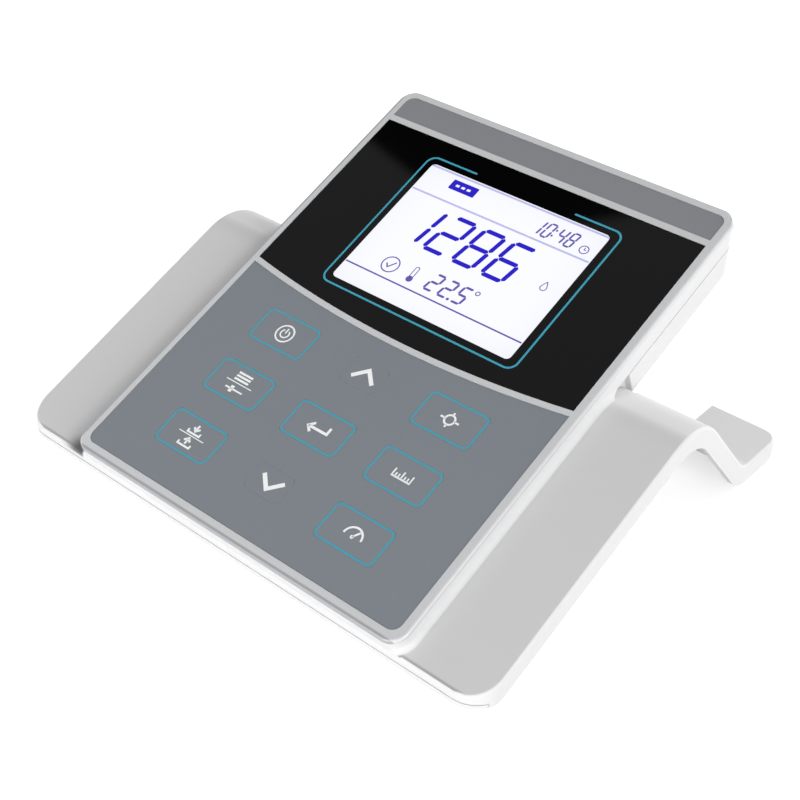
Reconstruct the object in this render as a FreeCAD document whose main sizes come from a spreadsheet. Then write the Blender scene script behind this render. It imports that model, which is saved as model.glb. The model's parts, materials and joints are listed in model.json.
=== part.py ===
import FreeCAD, Part
import Sketcher
import math
import os

# Benchtop conductivity meter: a sloping console on a moulded stand with two wings.
# Working frame of the console: X to the right, Y up the slope from the front edge of the face,
# Z straight out of the face. The finished part stands on its feet, +Y to the back, +Z up.

Vector = FreeCAD.Vector
Rotation = FreeCAD.Rotation
Placement = FreeCAD.Placement

doc = FreeCAD.newDocument("conductivity_meter")
dims = doc.addObject("Spreadsheet::Sheet", "dims")

# Driving dimensions in millimetres and degrees
SIZES = {
    "tilt_angle": 23,
    "slab_width": 163.6,
    "slab_length": 211.3,
    "slab_corner": 7,
    "overall_width": 231.4,
    "wing_drop": 6.7,
    "wing_thickness": 8.1,
    "wing_skin": 2.4,
    "wing_corner": 12,
    "wing_edge": 1.2,
    "cove_radius": 2.6,
    "crest_back": 79.8,
    "crest_radius": 26,
    "drop_angle": 49,
    "drop_fillet": 8,
    "tail_inset": 0.5,
    "tail_corner": 7,
    "leg_gap": 2.9,
    "notch_gap": 4.3,
    "foot_height": 1.5,
    "front_height": 5.1,
    "front_edge": 3,
    "front_groove": 0.4,
    "lip_depth": 6,
    "bezel_thickness": 1.8,
    "bezel_edge": 1.1,
    "border_side": 3.7,
    "border_front": 4.2,
    "border_top": 3.3,
    "face_corner": 4,
    "panel_sink": 0.2,
    "panel_fit": 0.15,
    "divider_width": 2.5,
    "divider_share": 0.5045,
    "divider_sag": 6.4,
    "strip_height": 12.5,
    "strip_divider": 2.8,
    "window_width": 88,
    "window_margin": 9.55,
    "window_shift": 2.65,
    "key_width": 27,
    "key_length": 16,
    "key_corner": 1.4,
    "key_gap": 0.15,
    "key_column_share": 0.2518,
    "key_low_row": 26.5,
    "key_top_gap": 25.1,
    "key_cap": 0.9,
    "key_travel": 0.4,
    "chevron_width": 17,
    "chevron_length": 12,
    "stem_width": 5,
    "stem_fit": 0.3,
    "collar_width": 7.5,
    "collar_height": 0.9,
    "collar_gap": 0.3,
    "stem_end": 0.4,
    "switch_gap": 0.1,
    "switch_size": 6,
    "switch_height": 3.1,
    "switch_button": 0.4,
    "switch_button_radius": 1.75,
    "deck_thickness": 2,
    "shell_wall": 2.2,
    "shell_depth": 8.5,
    "parting_gap": 0.4,
    "case_depth": 20.5,
    "case_floor": 2.2,
    "case_edge": 1.5,
    "case_ground": 0.5,
    "case_fit": 0.3,
    "board_thickness": 1.6,
    "board_screw_inset": 4,
    "main_board_side": 13.8,
    "main_board_front": 5.6,
    "main_board_back": 21.3,
    "key_board_side": 19.8,
    "key_board_front": 10.8,
    "key_board_back": 10.6,
    "glass_rim": 4,
    "glass_thickness": 2.8,
    "glass_gap": 0.2,
    "glass_fit": 0.4,
    "backlight_thickness": 3,
    "holder_wall": 3.5,
    "holder_fit": 0.2,
    "holder_ledge": 6,
    "boss_radius": 3.5,
    "foot_boss_wall": 1.5,
    "screw_radius": 1.5,
    "screw_fit": 0.05,
    "screw_head_radius": 2.8,
    "screw_head_height": 2,
    "screw_length": 10,
    "screw_head_level": 15,
    "screw_end_gap": 0.5,
    "case_screw_side": 9.8,
    "case_screw_front": 13,
    "case_screw_rear": 15.3,
    "board_screw_head_radius": 2.4,
    "board_screw_head_height": 1.4,
    "board_screw_length": 6,
    "rear_panel_side": 19.8,
    "rear_panel_height": 11.8,
    "rear_panel_thickness": 2,
    "rear_panel_level": 12.7,
    "rear_panel_fit": 0.25,
    "socket_fit": 0.1,
    "socket_proud": 0.3,
    "flange_width": 0.6,
    "flange_thickness": 1.5,
    "probe_socket_radius": 4.8,
    "probe_socket_reach": 9,
    "probe_socket_inside": 8,
    "probe_socket_side": 18,
    "probe_bore_radius": 3.6,
    "probe_lug_radius": 1,
    "probe_lug_reach": 5.9,
    "probe_lug_place": 3.5,
    "core_radius": 2.2,
    "core_bore_radius": 0.7,
    "nut_height": 2,
    "nut_wall": 1.5,
    "sense_socket_radius": 3.6,
    "sense_socket_reach": 4,
    "sense_socket_inside": 9,
    "sense_socket_gap": 24,
    "sense_bore_radius": 1.8,
    "sense_bore_depth": 6,
    "data_socket_gap": 52,
    "data_width": 9,
    "data_height": 5.5,
    "data_depth": 10,
    "data_wall": 0.6,
    "data_back": 3,
    "data_tongue_width": 5,
    "data_tongue_height": 1.2,
    "power_socket_side": 22,
    "power_width": 9,
    "power_height": 9.5,
    "power_depth": 9,
    "power_bore_depth": 7,
    "power_bore_radius": 2.8,
    "power_pin_radius": 1,
    "foot_radius": 6,
    "foot_front_side": 21.8,
    "foot_rear_inset": 15,
    "cable_width": 28,
    "cable_thickness": 0.3,
    "cable_grip": 8,
    "shield_inset": 10,
    "shield_width": 28,
    "shield_length": 32,
    "shield_height": 4,
    "shield_gap": 3,
    "processor_size": 14,
    "processor_height": 1.4,
    "cell_x": 34,
    "cell_shift": 13,
    "cell_radius": 10,
    "cell_height": 3.2,
    "cell_fit": 0.1,
    "cradle_wall": 1,
    "cradle_length": 21,
    "cradle_floor": 1.2,
    "beeper_shift": 22,
    "beeper_radius": 6,
    "beeper_height": 5,
    "cut_past": 1,
}

for row, (alias, value) in enumerate(SIZES.items(), start=1):
    dims.set("A%d" % row, alias)
    dims.set("B%d" % row, str(value))
    dims.setAlias("B%d" % row, alias)
doc.recompute()


class Names:
    """Turns a size's name into the text that an expression uses for it."""

    def __getattr__(self, name):
        if name not in SIZES:
            raise AttributeError(name)
        return "dims." + name


D = Names()


def value(expression):
    """The number that an expression of sizes gives."""
    return float(dims.evalExpression(str(expression)))


# The face's front edge stands this high above the bench
FACE_RISE = f"({D.foot_height} + {D.front_height} + cos({D.tilt_angle}) * {D.wing_drop})"


def from_bench(across, up):
    """A point given level and upright, as the console's own Y and Z."""
    rise = f"(({up}) - {FACE_RISE})"
    along = f"cos({D.tilt_angle}) * ({across}) + sin({D.tilt_angle}) * {rise}"
    out = f"0 - sin({D.tilt_angle}) * ({across}) + cos({D.tilt_angle}) * {rise}"
    return along, out


def bench_y(along, out):
    """How far back a point of the console lies, measured level."""
    return f"(cos({D.tilt_angle}) * ({along}) - sin({D.tilt_angle}) * ({out}))"


def bench_z(along, out):
    """How high a point of the console lies above the bench."""
    return f"(sin({D.tilt_angle}) * ({along}) + cos({D.tilt_angle}) * ({out}) + {FACE_RISE})"


# The part's origin is under the middle of its footprint
BACK_EDGE = f"({bench_y(D.slab_length, 0)} + {D.probe_socket_reach})"
ORIGIN_SHIFT = f"({BACK_EDGE} / 2)"

TILT = Rotation(Vector(1, 0, 0), value(D.tilt_angle))
CONSOLE = Placement(Vector(0, -value(ORIGIN_SHIFT), value(FACE_RISE)), TILT)
LEVEL = Placement(Vector(0, -value(ORIGIN_SHIFT), 0), Rotation())


def new_body(label, placement):
    body = doc.addObject("PartDesign::Body", label)
    body.Label = label
    body.Placement = placement
    return body


def new_sketch(body, role, offset=None):
    """A sketch on one of the body's own origin planes, moved along its normal by an expression."""
    sketch = body.newObject("Sketcher::SketchObject", body.Label + "_sketch")
    plane = [item for item in body.Origin.OriginFeatures if item.Role == role][0]
    sketch.AttachmentSupport = [(plane, "")]
    sketch.MapMode = "FlatFace"
    if offset is not None:
        sketch.AttachmentOffset = Placement(Vector(0, 0, value(offset)), Rotation())
        sketch.setExpression("AttachmentOffset.Base.z", str(offset))
    return sketch


def hold(sketch, kind, *spots, to):
    """Adds a driving dimension to a sketch and binds it to an expression."""
    index = sketch.addConstraint(Sketcher.Constraint(kind, *spots, value(to)))
    sketch.setExpression("Constraints[%d]" % index, str(to))


def draw_outline(sketch, corners, arcs=None):
    """A closed outline through corners given as pairs of expressions. arcs names the sides that
    are bows: side number to (radius expression, centre's side: 1 left of the way along, -1 right)."""
    arcs = arcs or {}
    points = [Vector(value(x), value(y), 0) for x, y in corners]
    first = sketch.GeometryCount
    count = len(points)
    starts = {}
    for side in range(count):
        here = points[side]
        there = points[(side + 1) % count]
        if side in arcs:
            radius_text, hand = arcs[side]
            radius = value(radius_text)
            chord = there - here
            half = chord.Length / 2
            reach = math.sqrt(radius * radius - half * half)
            normal = Vector(-chord.y, chord.x, 0).normalize()
            centre = (here + there) * 0.5 + normal * (reach * hand)
            begin, end = (here, there) if hand > 0 else (there, here)
            start_angle = math.atan2(begin.y - centre.y, begin.x - centre.x)
            end_angle = math.atan2(end.y - centre.y, end.x - centre.x)
            circle = Part.Circle(centre, Vector(0, 0, 1), radius)
            sketch.addGeometry(Part.ArcOfCircle(circle, start_angle, end_angle), False)
            starts[side] = (1, 2) if hand > 0 else (2, 1)
        else:
            sketch.addGeometry(Part.LineSegment(here, there), False)
            starts[side] = (1, 2)
    for side in range(count):
        following = (side + 1) % count
        sketch.addConstraint(Sketcher.Constraint(
            "Coincident", first + side, starts[side][1], first + following, starts[following][0]))
        x, y = corners[side]
        hold(sketch, "DistanceX", -1, 1, first + side, starts[side][0], to=x)
        hold(sketch, "DistanceY", -1, 1, first + side, starts[side][0], to=y)
        if side in arcs:
            hold(sketch, "Radius", first + side, to=arcs[side][0])
    return sketch


def draw_box(sketch, x_low, x_high, y_low, y_high):
    corners = [(x_low, y_low), (x_high, y_low), (x_high, y_high), (x_low, y_high)]
    return draw_outline(sketch, corners)


def draw_circle(sketch, x, y, radius):
    index = sketch.addGeometry(
        Part.Circle(Vector(value(x), value(y), 0), Vector(0, 0, 1), value(radius)), False)
    hold(sketch, "DistanceX", -1, 1, index, 3, to=x)
    hold(sketch, "DistanceY", -1, 1, index, 3, to=y)
    hold(sketch, "Radius", index, to=radius)
    return sketch


def add_pad(body, sketch, length, both_ways=False, downward=False):
    pad = body.newObject("PartDesign::Pad", body.Label + "_pad")
    pad.Profile = sketch
    pad.Midplane = both_ways
    pad.Reversed = downward
    pad.Length = value(length)
    pad.setExpression("Length", str(length))
    doc.recompute()
    return pad


def add_pocket(body, sketch, length, both_ways=False, upward=False):
    before = body.Shape.Volume
    pocket = body.newObject("PartDesign::Pocket", body.Label + "_pocket")
    pocket.Profile = sketch
    pocket.Midplane = both_ways
    pocket.Reversed = upward
    pocket.Length = value(length)
    pocket.setExpression("Length", str(length))
    doc.recompute()
    if body.Shape.Volume > before - 0.01:
        raise RuntimeError("a pocket of %s removes nothing" % body.Label)
    return pocket


def round_edges(body, wanted, radius):
    """Rounds the edges of the body's last feature for which wanted(edge) holds."""
    last = body.Tip
    names = [
        "Edge%d" % number
        for number, edge in enumerate(last.Shape.Edges, start=1)
        if wanted(edge)
    ]
    if not names:
        raise RuntimeError("no edge to round on %s" % body.Label)
    fillet = body.newObject("PartDesign::Fillet", body.Label + "_fillet")
    fillet.Base = (last, names)
    fillet.Radius = value(radius)
    fillet.setExpression("Radius", str(radius))
    doc.recompute()
    if "Invalid" in fillet.State:
        raise RuntimeError("the fillet of %s failed" % body.Label)
    return fillet


def direction(edge):
    """The unit direction of a straight edge, or a null vector for a curved one."""
    if edge.Curve.TypeId != "Part::GeomLine":
        return Vector(0, 0, 0)
    way = edge.Vertexes[1].Point - edge.Vertexes[0].Point
    return way.normalize()


def runs(edge, axis):
    return abs(direction(edge).dot(axis)) > 0.999


AXIS_X = Vector(1, 0, 0)
AXIS_Y = Vector(0, 1, 0)
AXIS_Z = Vector(0, 0, 1)


def join(label, kind, parts):
    """A boolean of several objects: Part::MultiFuse or Part::MultiCommon."""
    result = doc.addObject(kind, label)
    result.Label = label
    result.Shapes = parts
    doc.recompute()
    return result


def fuse(label, *parts):
    return join(label, "Part::MultiFuse", list(parts))


def overlap(label, *parts):
    return join(label, "Part::MultiCommon", list(parts))


def cut(label, base, tool):
    result = doc.addObject("Part::Cut", label)
    result.Label = label
    result.Base = base
    result.Tool = tool
    doc.recompute()
    if result.Shape.Volume > base.Shape.Volume - 0.01:
        raise RuntimeError("cutting %s removes nothing" % label)
    return result


def soften(label, base, wanted, radius):
    """Rounds the edges of a boolean's shape for which wanted(edge) holds."""
    numbers = [number for number, edge in enumerate(base.Shape.Edges, start=1) if wanted(edge)]
    if not numbers:
        raise RuntimeError("no edge to soften on %s" % label)
    result = doc.addObject("Part::Fillet", label)
    result.Label = label
    result.Base = base
    result.Edges = [(number, value(radius), value(radius)) for number in numbers]
    doc.recompute()
    return result


def set_size(item, **sizes):
    for name, expression in sizes.items():
        setattr(item, name, value(expression))
        item.setExpression(name, str(expression))


def place(item, frame, x, y, z, turn=None):
    spot = Vector(value(x), value(y), value(z))
    item.Placement = frame.multiply(Placement(spot, turn or Rotation()))


def block(label, frame, x_low, x_high, y_low, y_high, z_low, z_high):
    """A rectangular block between limits given as expressions, in a frame."""
    item = doc.addObject("Part::Box", label)
    item.Label = label
    set_size(
        item,
        Length=f"({x_high}) - ({x_low})",
        Width=f"({y_high}) - ({y_low})",
        Height=f"({z_high}) - ({z_low})",
    )
    place(item, frame, x_low, y_low, z_low)
    doc.recompute()
    return item


def square_bar(label, across, along, width, low, high):
    """A square bar that stands on the face, between two levels."""
    return block(
        label, CONSOLE, f"{across} - ({width}) / 2", f"{across} + ({width}) / 2",
        f"{along} - ({width}) / 2", f"{along} + ({width}) / 2", low, high)


def rod(label, frame, x, y, z, radius, height, turn=None):
    """A round bar from a point along its frame's Z, or along the way that turn gives."""
    item = doc.addObject("Part::Cylinder", label)
    item.Label = label
    set_size(item, Radius=radius, Height=height)
    place(item, frame, x, y, z, turn)
    doc.recompute()
    return item


# Places on the face that follow its length and width
DIVIDER_PLACE = f"({D.slab_length} * {D.divider_share})"
STRIP_PLACE = f"({D.slab_length} - {D.border_top} - {D.strip_height} - {D.strip_divider})"
WINDOW_PLACE = f"(({STRIP_PLACE} + {DIVIDER_PLACE}) / 2 - {D.window_shift})"
WINDOW_LENGTH = f"({STRIP_PLACE} - {DIVIDER_PLACE} - 2 * {D.window_margin})"
GLASS_WIDTH = f"({D.window_width} + 2 * {D.glass_rim})"
GLASS_LENGTH = f"({WINDOW_LENGTH} + 2 * {D.glass_rim})"

HALF_SLAB = f"({D.slab_width} / 2)"
HALF_WIDTH = f"({D.overall_width} / 2)"
DECK_TOP = f"(0 - {D.bezel_thickness})"
DECK_UNDER = f"(0 - {D.bezel_thickness} - {D.deck_thickness})"
INNER_HALF = f"({HALF_SLAB} - {D.border_side})"
BOW = f"(({INNER_HALF}^2 + {D.divider_sag}^2) / (2 * {D.divider_sag}))"
PANEL_TOP = f"(0 - {D.panel_sink})"
PANEL_THICKNESS = f"({D.bezel_thickness} - {D.panel_sink})"
# Deeper than anything on the meter, for cuts that go right through
DEEP = f"({D.case_depth} * 3)"


def post(label, frame, x, y, z, radius, height, turn=None):
    """A bar with twelve flat sides, for small pins, screws and screw posts."""
    item = doc.addObject("Part::Prism", label)
    item.Label = label
    item.Polygon = POST_SIDES
    set_size(item, Circumradius=radius, Height=height)
    place(item, frame, x, y, z, turn)
    doc.recompute()
    return item


def rear_along(out):
    """The console's Y where its upright rear wall stands at a given Z."""
    return f"({D.slab_length} + tan({D.tilt_angle}) * ({out}))"


# Wave of the wings: the line of the top skin, then the same line one thickness lower

WAVE_TOP = f"(0 - {D.wing_drop})"
FRONT_Y = bench_y(0, WAVE_TOP)
FRONT_Z = bench_z(0, WAVE_TOP)
CREST_PLACE = f"({D.slab_length} - {D.crest_back})"
CREST_Y = bench_y(CREST_PLACE, WAVE_TOP)
CREST_Z = bench_z(CREST_PLACE, WAVE_TOP)
TAIL_REACH = f"({bench_y(D.slab_length, 0)} - {D.tail_inset})"
TURN = f"(({D.tilt_angle} + {D.drop_angle}) / 2)"
FRONT_LIMIT = f"({FRONT_Y} - {ORIGIN_SHIFT} + {D.lip_depth})"


def wave_level(depth):
    """Three corners of the wave at a depth under its top skin: crest, foot of the drop, tail end."""
    crest = (f"{CREST_PLACE} - ({depth}) * tan({TURN})", f"{WAVE_TOP} - ({depth})")
    level = f"({D.foot_height} + {D.wing_thickness} - ({depth}))"
    fall = f"({CREST_Z} - {D.foot_height} - {D.wing_thickness}) / tan({D.drop_angle})"
    heel = from_bench(f"{CREST_Y} + {fall} - ({depth}) * tan({D.drop_angle} / 2)", level)
    tail = from_bench(TAIL_REACH, level)
    return crest, heel, tail


def is_crest(edge, depth):
    crest = wave_level(depth)[0]
    spot = edge.CenterOfMass
    near = abs(spot.y - value(crest[0])) < 0.5 and abs(spot.z - value(crest[1])) < 0.5
    return runs(edge, AXIS_X) and near


def is_heel(edge, depth):
    heel = wave_level(depth)[1]
    spot = edge.CenterOfMass
    near = abs(spot.y - value(heel[0])) < 0.5 and abs(spot.z - value(heel[1])) < 0.5
    return runs(edge, AXIS_X) and near


def make_wave():
    """The wings' sheet at full width, with its crest and the foot of its drop rounded."""
    body = new_body("wave_sheet", CONSOLE)
    crest, heel, tail = wave_level(0)
    under_crest, under_heel, under_tail = wave_level(D.wing_thickness)
    under_z = f"({WAVE_TOP} - {D.wing_thickness})"
    drop = f"({D.foot_height} - {FACE_RISE} - cos({D.tilt_angle}) * {under_z})"
    under_start = f"({drop} / sin({D.tilt_angle}))"
    skirt = f"{FRONT_Y} + {D.lip_depth} + {D.case_fit}"
    corners = [
        ("0", WAVE_TOP), from_bench(FRONT_Y, f"{FRONT_Z} - {D.front_edge}"),
        from_bench(skirt, f"{FRONT_Z} - {D.front_edge}"), from_bench(skirt, D.foot_height),
        (under_start, under_z), under_crest, under_heel, under_tail, tail, heel, crest,
    ]
    draw_outline(new_sketch(body, "YZ_Plane"), corners)
    add_pad(body, body.Group[-1], D.overall_width, both_ways=True)
    round_edges(body, lambda edge: is_crest(edge, "0"), D.crest_radius)
    round_edges(body, lambda edge: is_heel(edge, "0"), D.drop_fillet)
    under = D.wing_thickness
    round_edges(body, lambda edge: is_crest(edge, under), f"{D.crest_radius} - {under}")
    round_edges(body, lambda edge: is_heel(edge, under), f"{D.drop_fillet} + {under}")
    return body


def make_plan(label, inset):
    """The footprint as an upright block: rounded at its corners, open between the two legs."""
    body = new_body(label, LEVEL)
    sketch = new_sketch(body, "XY_Plane")
    leg = f"({HALF_SLAB} + {D.leg_gap} + ({inset}))"
    side = f"({HALF_WIDTH} - ({inset}))"
    notch = f"({CREST_Y} + {D.notch_gap} - ({inset}))"
    back = f"({TAIL_REACH} - ({inset}))"
    front = f"({FRONT_Y} + ({inset}))"
    corners = [
        (f"0 - {side}", front), (side, front), (side, back), (leg, back), (leg, notch),
        (f"0 - {leg}", notch), (f"0 - {leg}", back), (f"0 - {side}", back),
    ]
    draw_outline(sketch, corners)
    add_pad(body, sketch, CREST_Z)

    def at_front(edge):
        return runs(edge, AXIS_Z) and edge.CenterOfMass.y < value(front) + 0.1

    def at_tail(edge):
        spot = edge.CenterOfMass
        return runs(edge, AXIS_Z) and spot.y > value(back) - 0.1 and abs(spot.x) > value(side) - 0.1

    round_edges(body, at_front, f"{D.wing_corner} - ({inset})")
    round_edges(body, at_tail, f"{D.tail_corner} - ({inset})")
    return body


def wing_rim(shape):
    """Picks the edges between the wings' top skin and their upright outer sides."""
    inner = value(f"{HALF_SLAB} + {D.leg_gap}") + 0.1

    def rise(face):
        u_low, u_high, v_low, v_high = face.ParameterRange
        return face.normalAt((u_low + u_high) / 2, (v_low + v_high) / 2).z

    def wanted(edge):
        rises = [rise(face) for face in shape.ancestorsOfType(edge, Part.Face)]
        spots = [edge.valueAt(sum(edge.ParameterRange) / 2)]
        spots += [vertex.Point for vertex in edge.Vertexes]
        outside = all(abs(spot.x) > inner for spot in spots) or spots[0].y < value(FRONT_LIMIT)
        on_rim = max(rises) > 0.3 and min(abs(rise_of) for rise_of in rises) < 0.01
        return outside and on_rim
    return wanted


def make_wave_hollow():
    """The space under the wings' skin, which is open below."""
    body = new_body("wave_hollow_sheet", CONSOLE)
    crest, heel, tail = wave_level(D.wing_skin)
    deep = f"{D.wing_thickness} * 2"
    low_crest, low_heel, low_tail = wave_level(deep)
    start = from_bench(f"{FRONT_Y} + {D.lip_depth} + {D.case_fit} + {D.wing_skin}", "0")
    corners = [
        (start[0], f"{WAVE_TOP} - {D.wing_skin}"), start, low_crest, low_heel, low_tail, tail, heel,
        crest,
    ]
    draw_outline(new_sketch(body, "YZ_Plane"), corners)
    add_pad(body, body.Group[-1], D.overall_width, both_ways=True)
    round_edges(body, lambda edge: is_crest(edge, D.wing_skin), f"{D.crest_radius} - {D.wing_skin}")
    round_edges(body, lambda edge: is_heel(edge, D.wing_skin), f"{D.drop_fillet} + {D.wing_skin}")
    return body


def make_slab_block(label, top, bottom, half_width, front, rear_inset, corner=None):
    """A block of the console between two levels, with an upright rear wall and rounded corners.
    Without a corner radius it is room inside the walls."""
    body = new_body(label, CONSOLE)
    corners = [
        (front, top), (f"{rear_along(top)} - ({rear_inset})", top),
        (f"{rear_along(bottom)} - ({rear_inset})", bottom), (front, bottom),
    ]
    draw_outline(new_sketch(body, "YZ_Plane"), corners)
    add_pad(body, body.Group[-1], f"({half_width}) * 2", both_ways=True)
    radius = corner or f"{D.slab_corner} - {D.shell_wall}"
    round_edges(body, lambda edge: not runs(edge, AXIS_X) and not runs(edge, AXIS_Y), radius)
    return body


# Rows and columns of the keys

HIGH_ROW = f"({DIVIDER_PLACE} - {D.key_top_gap})"
KEY_ROWS = {
    "low": D.key_low_row,
    "middle": f"(({D.key_low_row} + {HIGH_ROW}) / 2)",
    "high": HIGH_ROW,
}
KEY_COLUMNS = {
    "left": f"(0 - {D.slab_width} * {D.key_column_share})",
    "centre": "0",
    "right": f"({D.slab_width} * {D.key_column_share})",
}
KEYS = {
    "key_power": ("left", "high", "wide"),
    "key_mode": ("left", "middle", "wide"),
    "key_memory": ("left", "low", "wide"),
    "key_up": ("centre", "high", "small"),
    "key_enter": ("centre", "middle", "wide"),
    "key_down": ("centre", "low", "small"),
    "key_calibrate": ("right", "high", "wide"),
    "key_unit": ("right", "middle", "wide"),
    "key_measure": ("right", "low", "wide"),
}


def key_place(name):
    column, row, size = KEYS[name]
    width = D.key_width if size == "wide" else D.chevron_width
    length = D.key_length if size == "wide" else D.chevron_length
    return KEY_COLUMNS[column], KEY_ROWS[row], width, length


# A twelve-sided hole whose flats clear the screw
POST_SIDES = 12
HALF_TURN = 180
SCREW_HOLE = f"(({D.screw_radius} + {D.screw_fit}) / cos({HALF_TURN} / {POST_SIDES}))"
CASE_SCREWS = [
    (f"({side}) * ({HALF_SLAB} - {D.case_screw_side})", along)
    for side in (-1, 1)
    for along in (D.case_screw_front, f"({D.slab_length} - {D.case_screw_rear})")
]
BOARD_TOP = (
    f"({DECK_UNDER} - {D.collar_gap} - {D.collar_height} - {D.stem_end} - {D.key_travel}"
    f" - {D.switch_gap} - {D.switch_button} - {D.switch_height})"
)
BOARD_UNDER = f"({BOARD_TOP} - {D.board_thickness})"
MAIN_BOARD = {
    "half": f"({HALF_SLAB} - {D.main_board_side})",
    "start": f"({DIVIDER_PLACE} - {D.main_board_front})",
    "end": f"({D.slab_length} - {D.main_board_back})",
}
KEY_BOARD = {
    "half": f"({HALF_SLAB} - {D.key_board_side})",
    "start": f"({D.border_front} + {D.key_board_front})",
    "end": f"({DIVIDER_PLACE} - {D.key_board_back})",
}


def board_screws(board):
    """Where a board's four screws are."""
    inset = D.board_screw_inset
    return [
        (f"({side}) * ({board['half']} - {inset})", along)
        for side in (-1, 1)
        for along in (f"({board['start']} + {inset})", f"({board['end']} - {inset})")
    ]


BOARD_SCREWS = board_screws(MAIN_BOARD) + board_screws(KEY_BOARD)


def make_cove(wings_plan):
    """The hollow rounding along the foot of the console's walls, down onto the wings."""
    sheet = new_body("cove_sheet", CONSOLE)
    crest, heel, tail = wave_level(0)
    front = f"(0 - {D.cove_radius} * 4)"
    corners = [(front, WAVE_TOP), (front, f"0 - {DEEP}"), (heel[0], f"0 - {DEEP}"), heel, crest]
    draw_outline(new_sketch(sheet, "YZ_Plane"), corners)
    add_pad(sheet, sheet.Group[-1], D.overall_width, both_ways=True)
    round_edges(sheet, lambda edge: is_crest(edge, "0"), D.crest_radius)
    walls = make_slab_block(
        "cove_walls", DECK_TOP, f"0 - {DEEP} / 2", HALF_SLAB, "0", "0", D.slab_corner)
    sharp = fuse("cove_sharp", sheet, walls)
    to_console = CONSOLE.inverse()

    def at_foot(edge):
        """On the wings' level, or where the walls go down over the ridge."""
        middle = edge.valueAt(sum(edge.ParameterRange) / 2)
        spots = [to_console.multVec(spot) for spot in (middle, *[v.Point for v in edge.Vertexes])]
        half = value(HALF_SLAB)
        level = value(WAVE_TOP)
        on_wing = all(abs(s.z - level) < 0.02 and abs(s.x) < half + 0.1 for s in spots)
        on_wall = all(abs(abs(s.x) - half) < 0.02 and s.z < level + 0.02 for s in spots)
        round_side = on_wall and edge.Curve.TypeId == "Part::GeomCircle"
        return round_side or (on_wing and spots[0].y < value(CREST_PLACE))

    rounded = soften("cove_rounded", sharp, at_foot, D.cove_radius)
    edging = cut("cove_edging", rounded, sharp)
    limit = block(
        "cove_limit", CONSOLE, f"0 - {HALF_WIDTH}", HALF_WIDTH, "0", D.slab_length,
        f"0 - {D.shell_depth}", "0")
    return overlap("cove", edging, wings_plan, limit)


def make_upper_shell():
    """The white moulding with the console's walls, its deck and both wings."""
    plan = make_plan("footprint", "0")
    sharp_wings = overlap("sharp_wings", make_wave(), plan)
    wings = soften("wings", sharp_wings, wing_rim(sharp_wings.Shape), D.wing_edge)
    walls = make_slab_block(
        "console_walls", DECK_TOP, f"{WAVE_TOP} - {D.case_fit}", HALF_SLAB, "0", "0", D.slab_corner)
    rear_walls = make_slab_block(
        "rear_walls", DECK_TOP, f"0 - {D.shell_depth}", HALF_SLAB,
        f"{CREST_PLACE} - {D.crest_radius}", "0", D.slab_corner)
    outer = fuse("shell_outside", wings, walls, rear_walls, make_cove(plan))
    under_wings = overlap(
        "wings_hollow", make_wave_hollow(), make_plan("hollow_footprint", D.wing_skin))
    inner_half = f"({HALF_SLAB} - {D.shell_wall})"
    room = make_slab_block(
        "console_room", DECK_UNDER, f"0 - {DEEP}", inner_half, D.shell_wall, D.shell_wall)
    shell = cut("shell_without_room", outer, fuse("shell_inside", under_wings, room))
    # Posts reach into the deck by a little, so that they are one solid with it
    into_deck = f"{DECK_UNDER} + {D.deck_thickness} / 4"
    bosses = []
    for across, along in CASE_SCREWS:
        bosses.append(post(
            "case_boss", CONSOLE, across, along, f"0 - {D.shell_depth}", D.boss_radius,
            f"{into_deck} + {D.shell_depth}"))
    for across, along in BOARD_SCREWS:
        bosses.append(post(
            "board_boss", CONSOLE, across, along, BOARD_TOP, D.boss_radius,
            f"{into_deck} - {BOARD_TOP}"))
    for side in (-1, 1):
        bosses.append(rod(
            "foot_boss", LEVEL, f"({side}) * {FOOT_REAR_X}", FOOT_REAR_PLACE, D.foot_height,
            f"{D.foot_radius} + {D.foot_boss_wall}", f"{D.wing_thickness} - {D.wing_skin} / 2"))
    shell = fuse("shell_with_bosses", shell, *bosses)
    hole_top = f"({DECK_UNDER} - {D.screw_end_gap})"
    holes = []
    for across, along in CASE_SCREWS:
        holes.append(post(
            "case_screw_hole", CONSOLE, across, along, f"0 - {DEEP}", SCREW_HOLE, f"{DEEP} + {hole_top}"))
    for across, along in BOARD_SCREWS:
        holes.append(post(
            "board_screw_hole", CONSOLE, across, along, f"{BOARD_TOP} - {D.cut_past}", SCREW_HOLE,
            f"{hole_top} - {BOARD_TOP} + {D.cut_past}"))
    for name in KEYS:
        across, along = key_place(name)[:2]
        holes.append(square_bar(
            "stem_hole", across, along, f"{D.stem_width} + 2 * {D.stem_fit}",
            f"{DECK_UNDER} - {D.cut_past}", "0"))
    holes.append(window_block("glass_opening", D.glass_fit, f"{DECK_UNDER} - {D.cut_past}", "0"))
    holes.append(rear_opening("upper_rear_opening", D.rear_panel_fit))
    return cut("upper_shell", shell, fuse("shell_holes", *holes))


# The rear panel stands upright in a slot through both shells' rear walls

REAR_Y = bench_y(rear_along(f"0 - {D.rear_panel_level}"), f"0 - {D.rear_panel_level}")
REAR_Z = bench_z(rear_along(f"0 - {D.rear_panel_level}"), f"0 - {D.rear_panel_level}")
REAR_INSIDE = f"({REAR_Y} - {D.rear_panel_thickness})"
REAR_HALF = f"({HALF_SLAB} - {D.rear_panel_side})"
PROBE_X = f"({D.probe_socket_side} - {REAR_HALF})"
SENSE_X = f"({PROBE_X} + {D.sense_socket_gap})"
DATA_X = f"({PROBE_X} + {D.data_socket_gap})"
POWER_X = f"({REAR_HALF} - {D.power_socket_side})"


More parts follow.
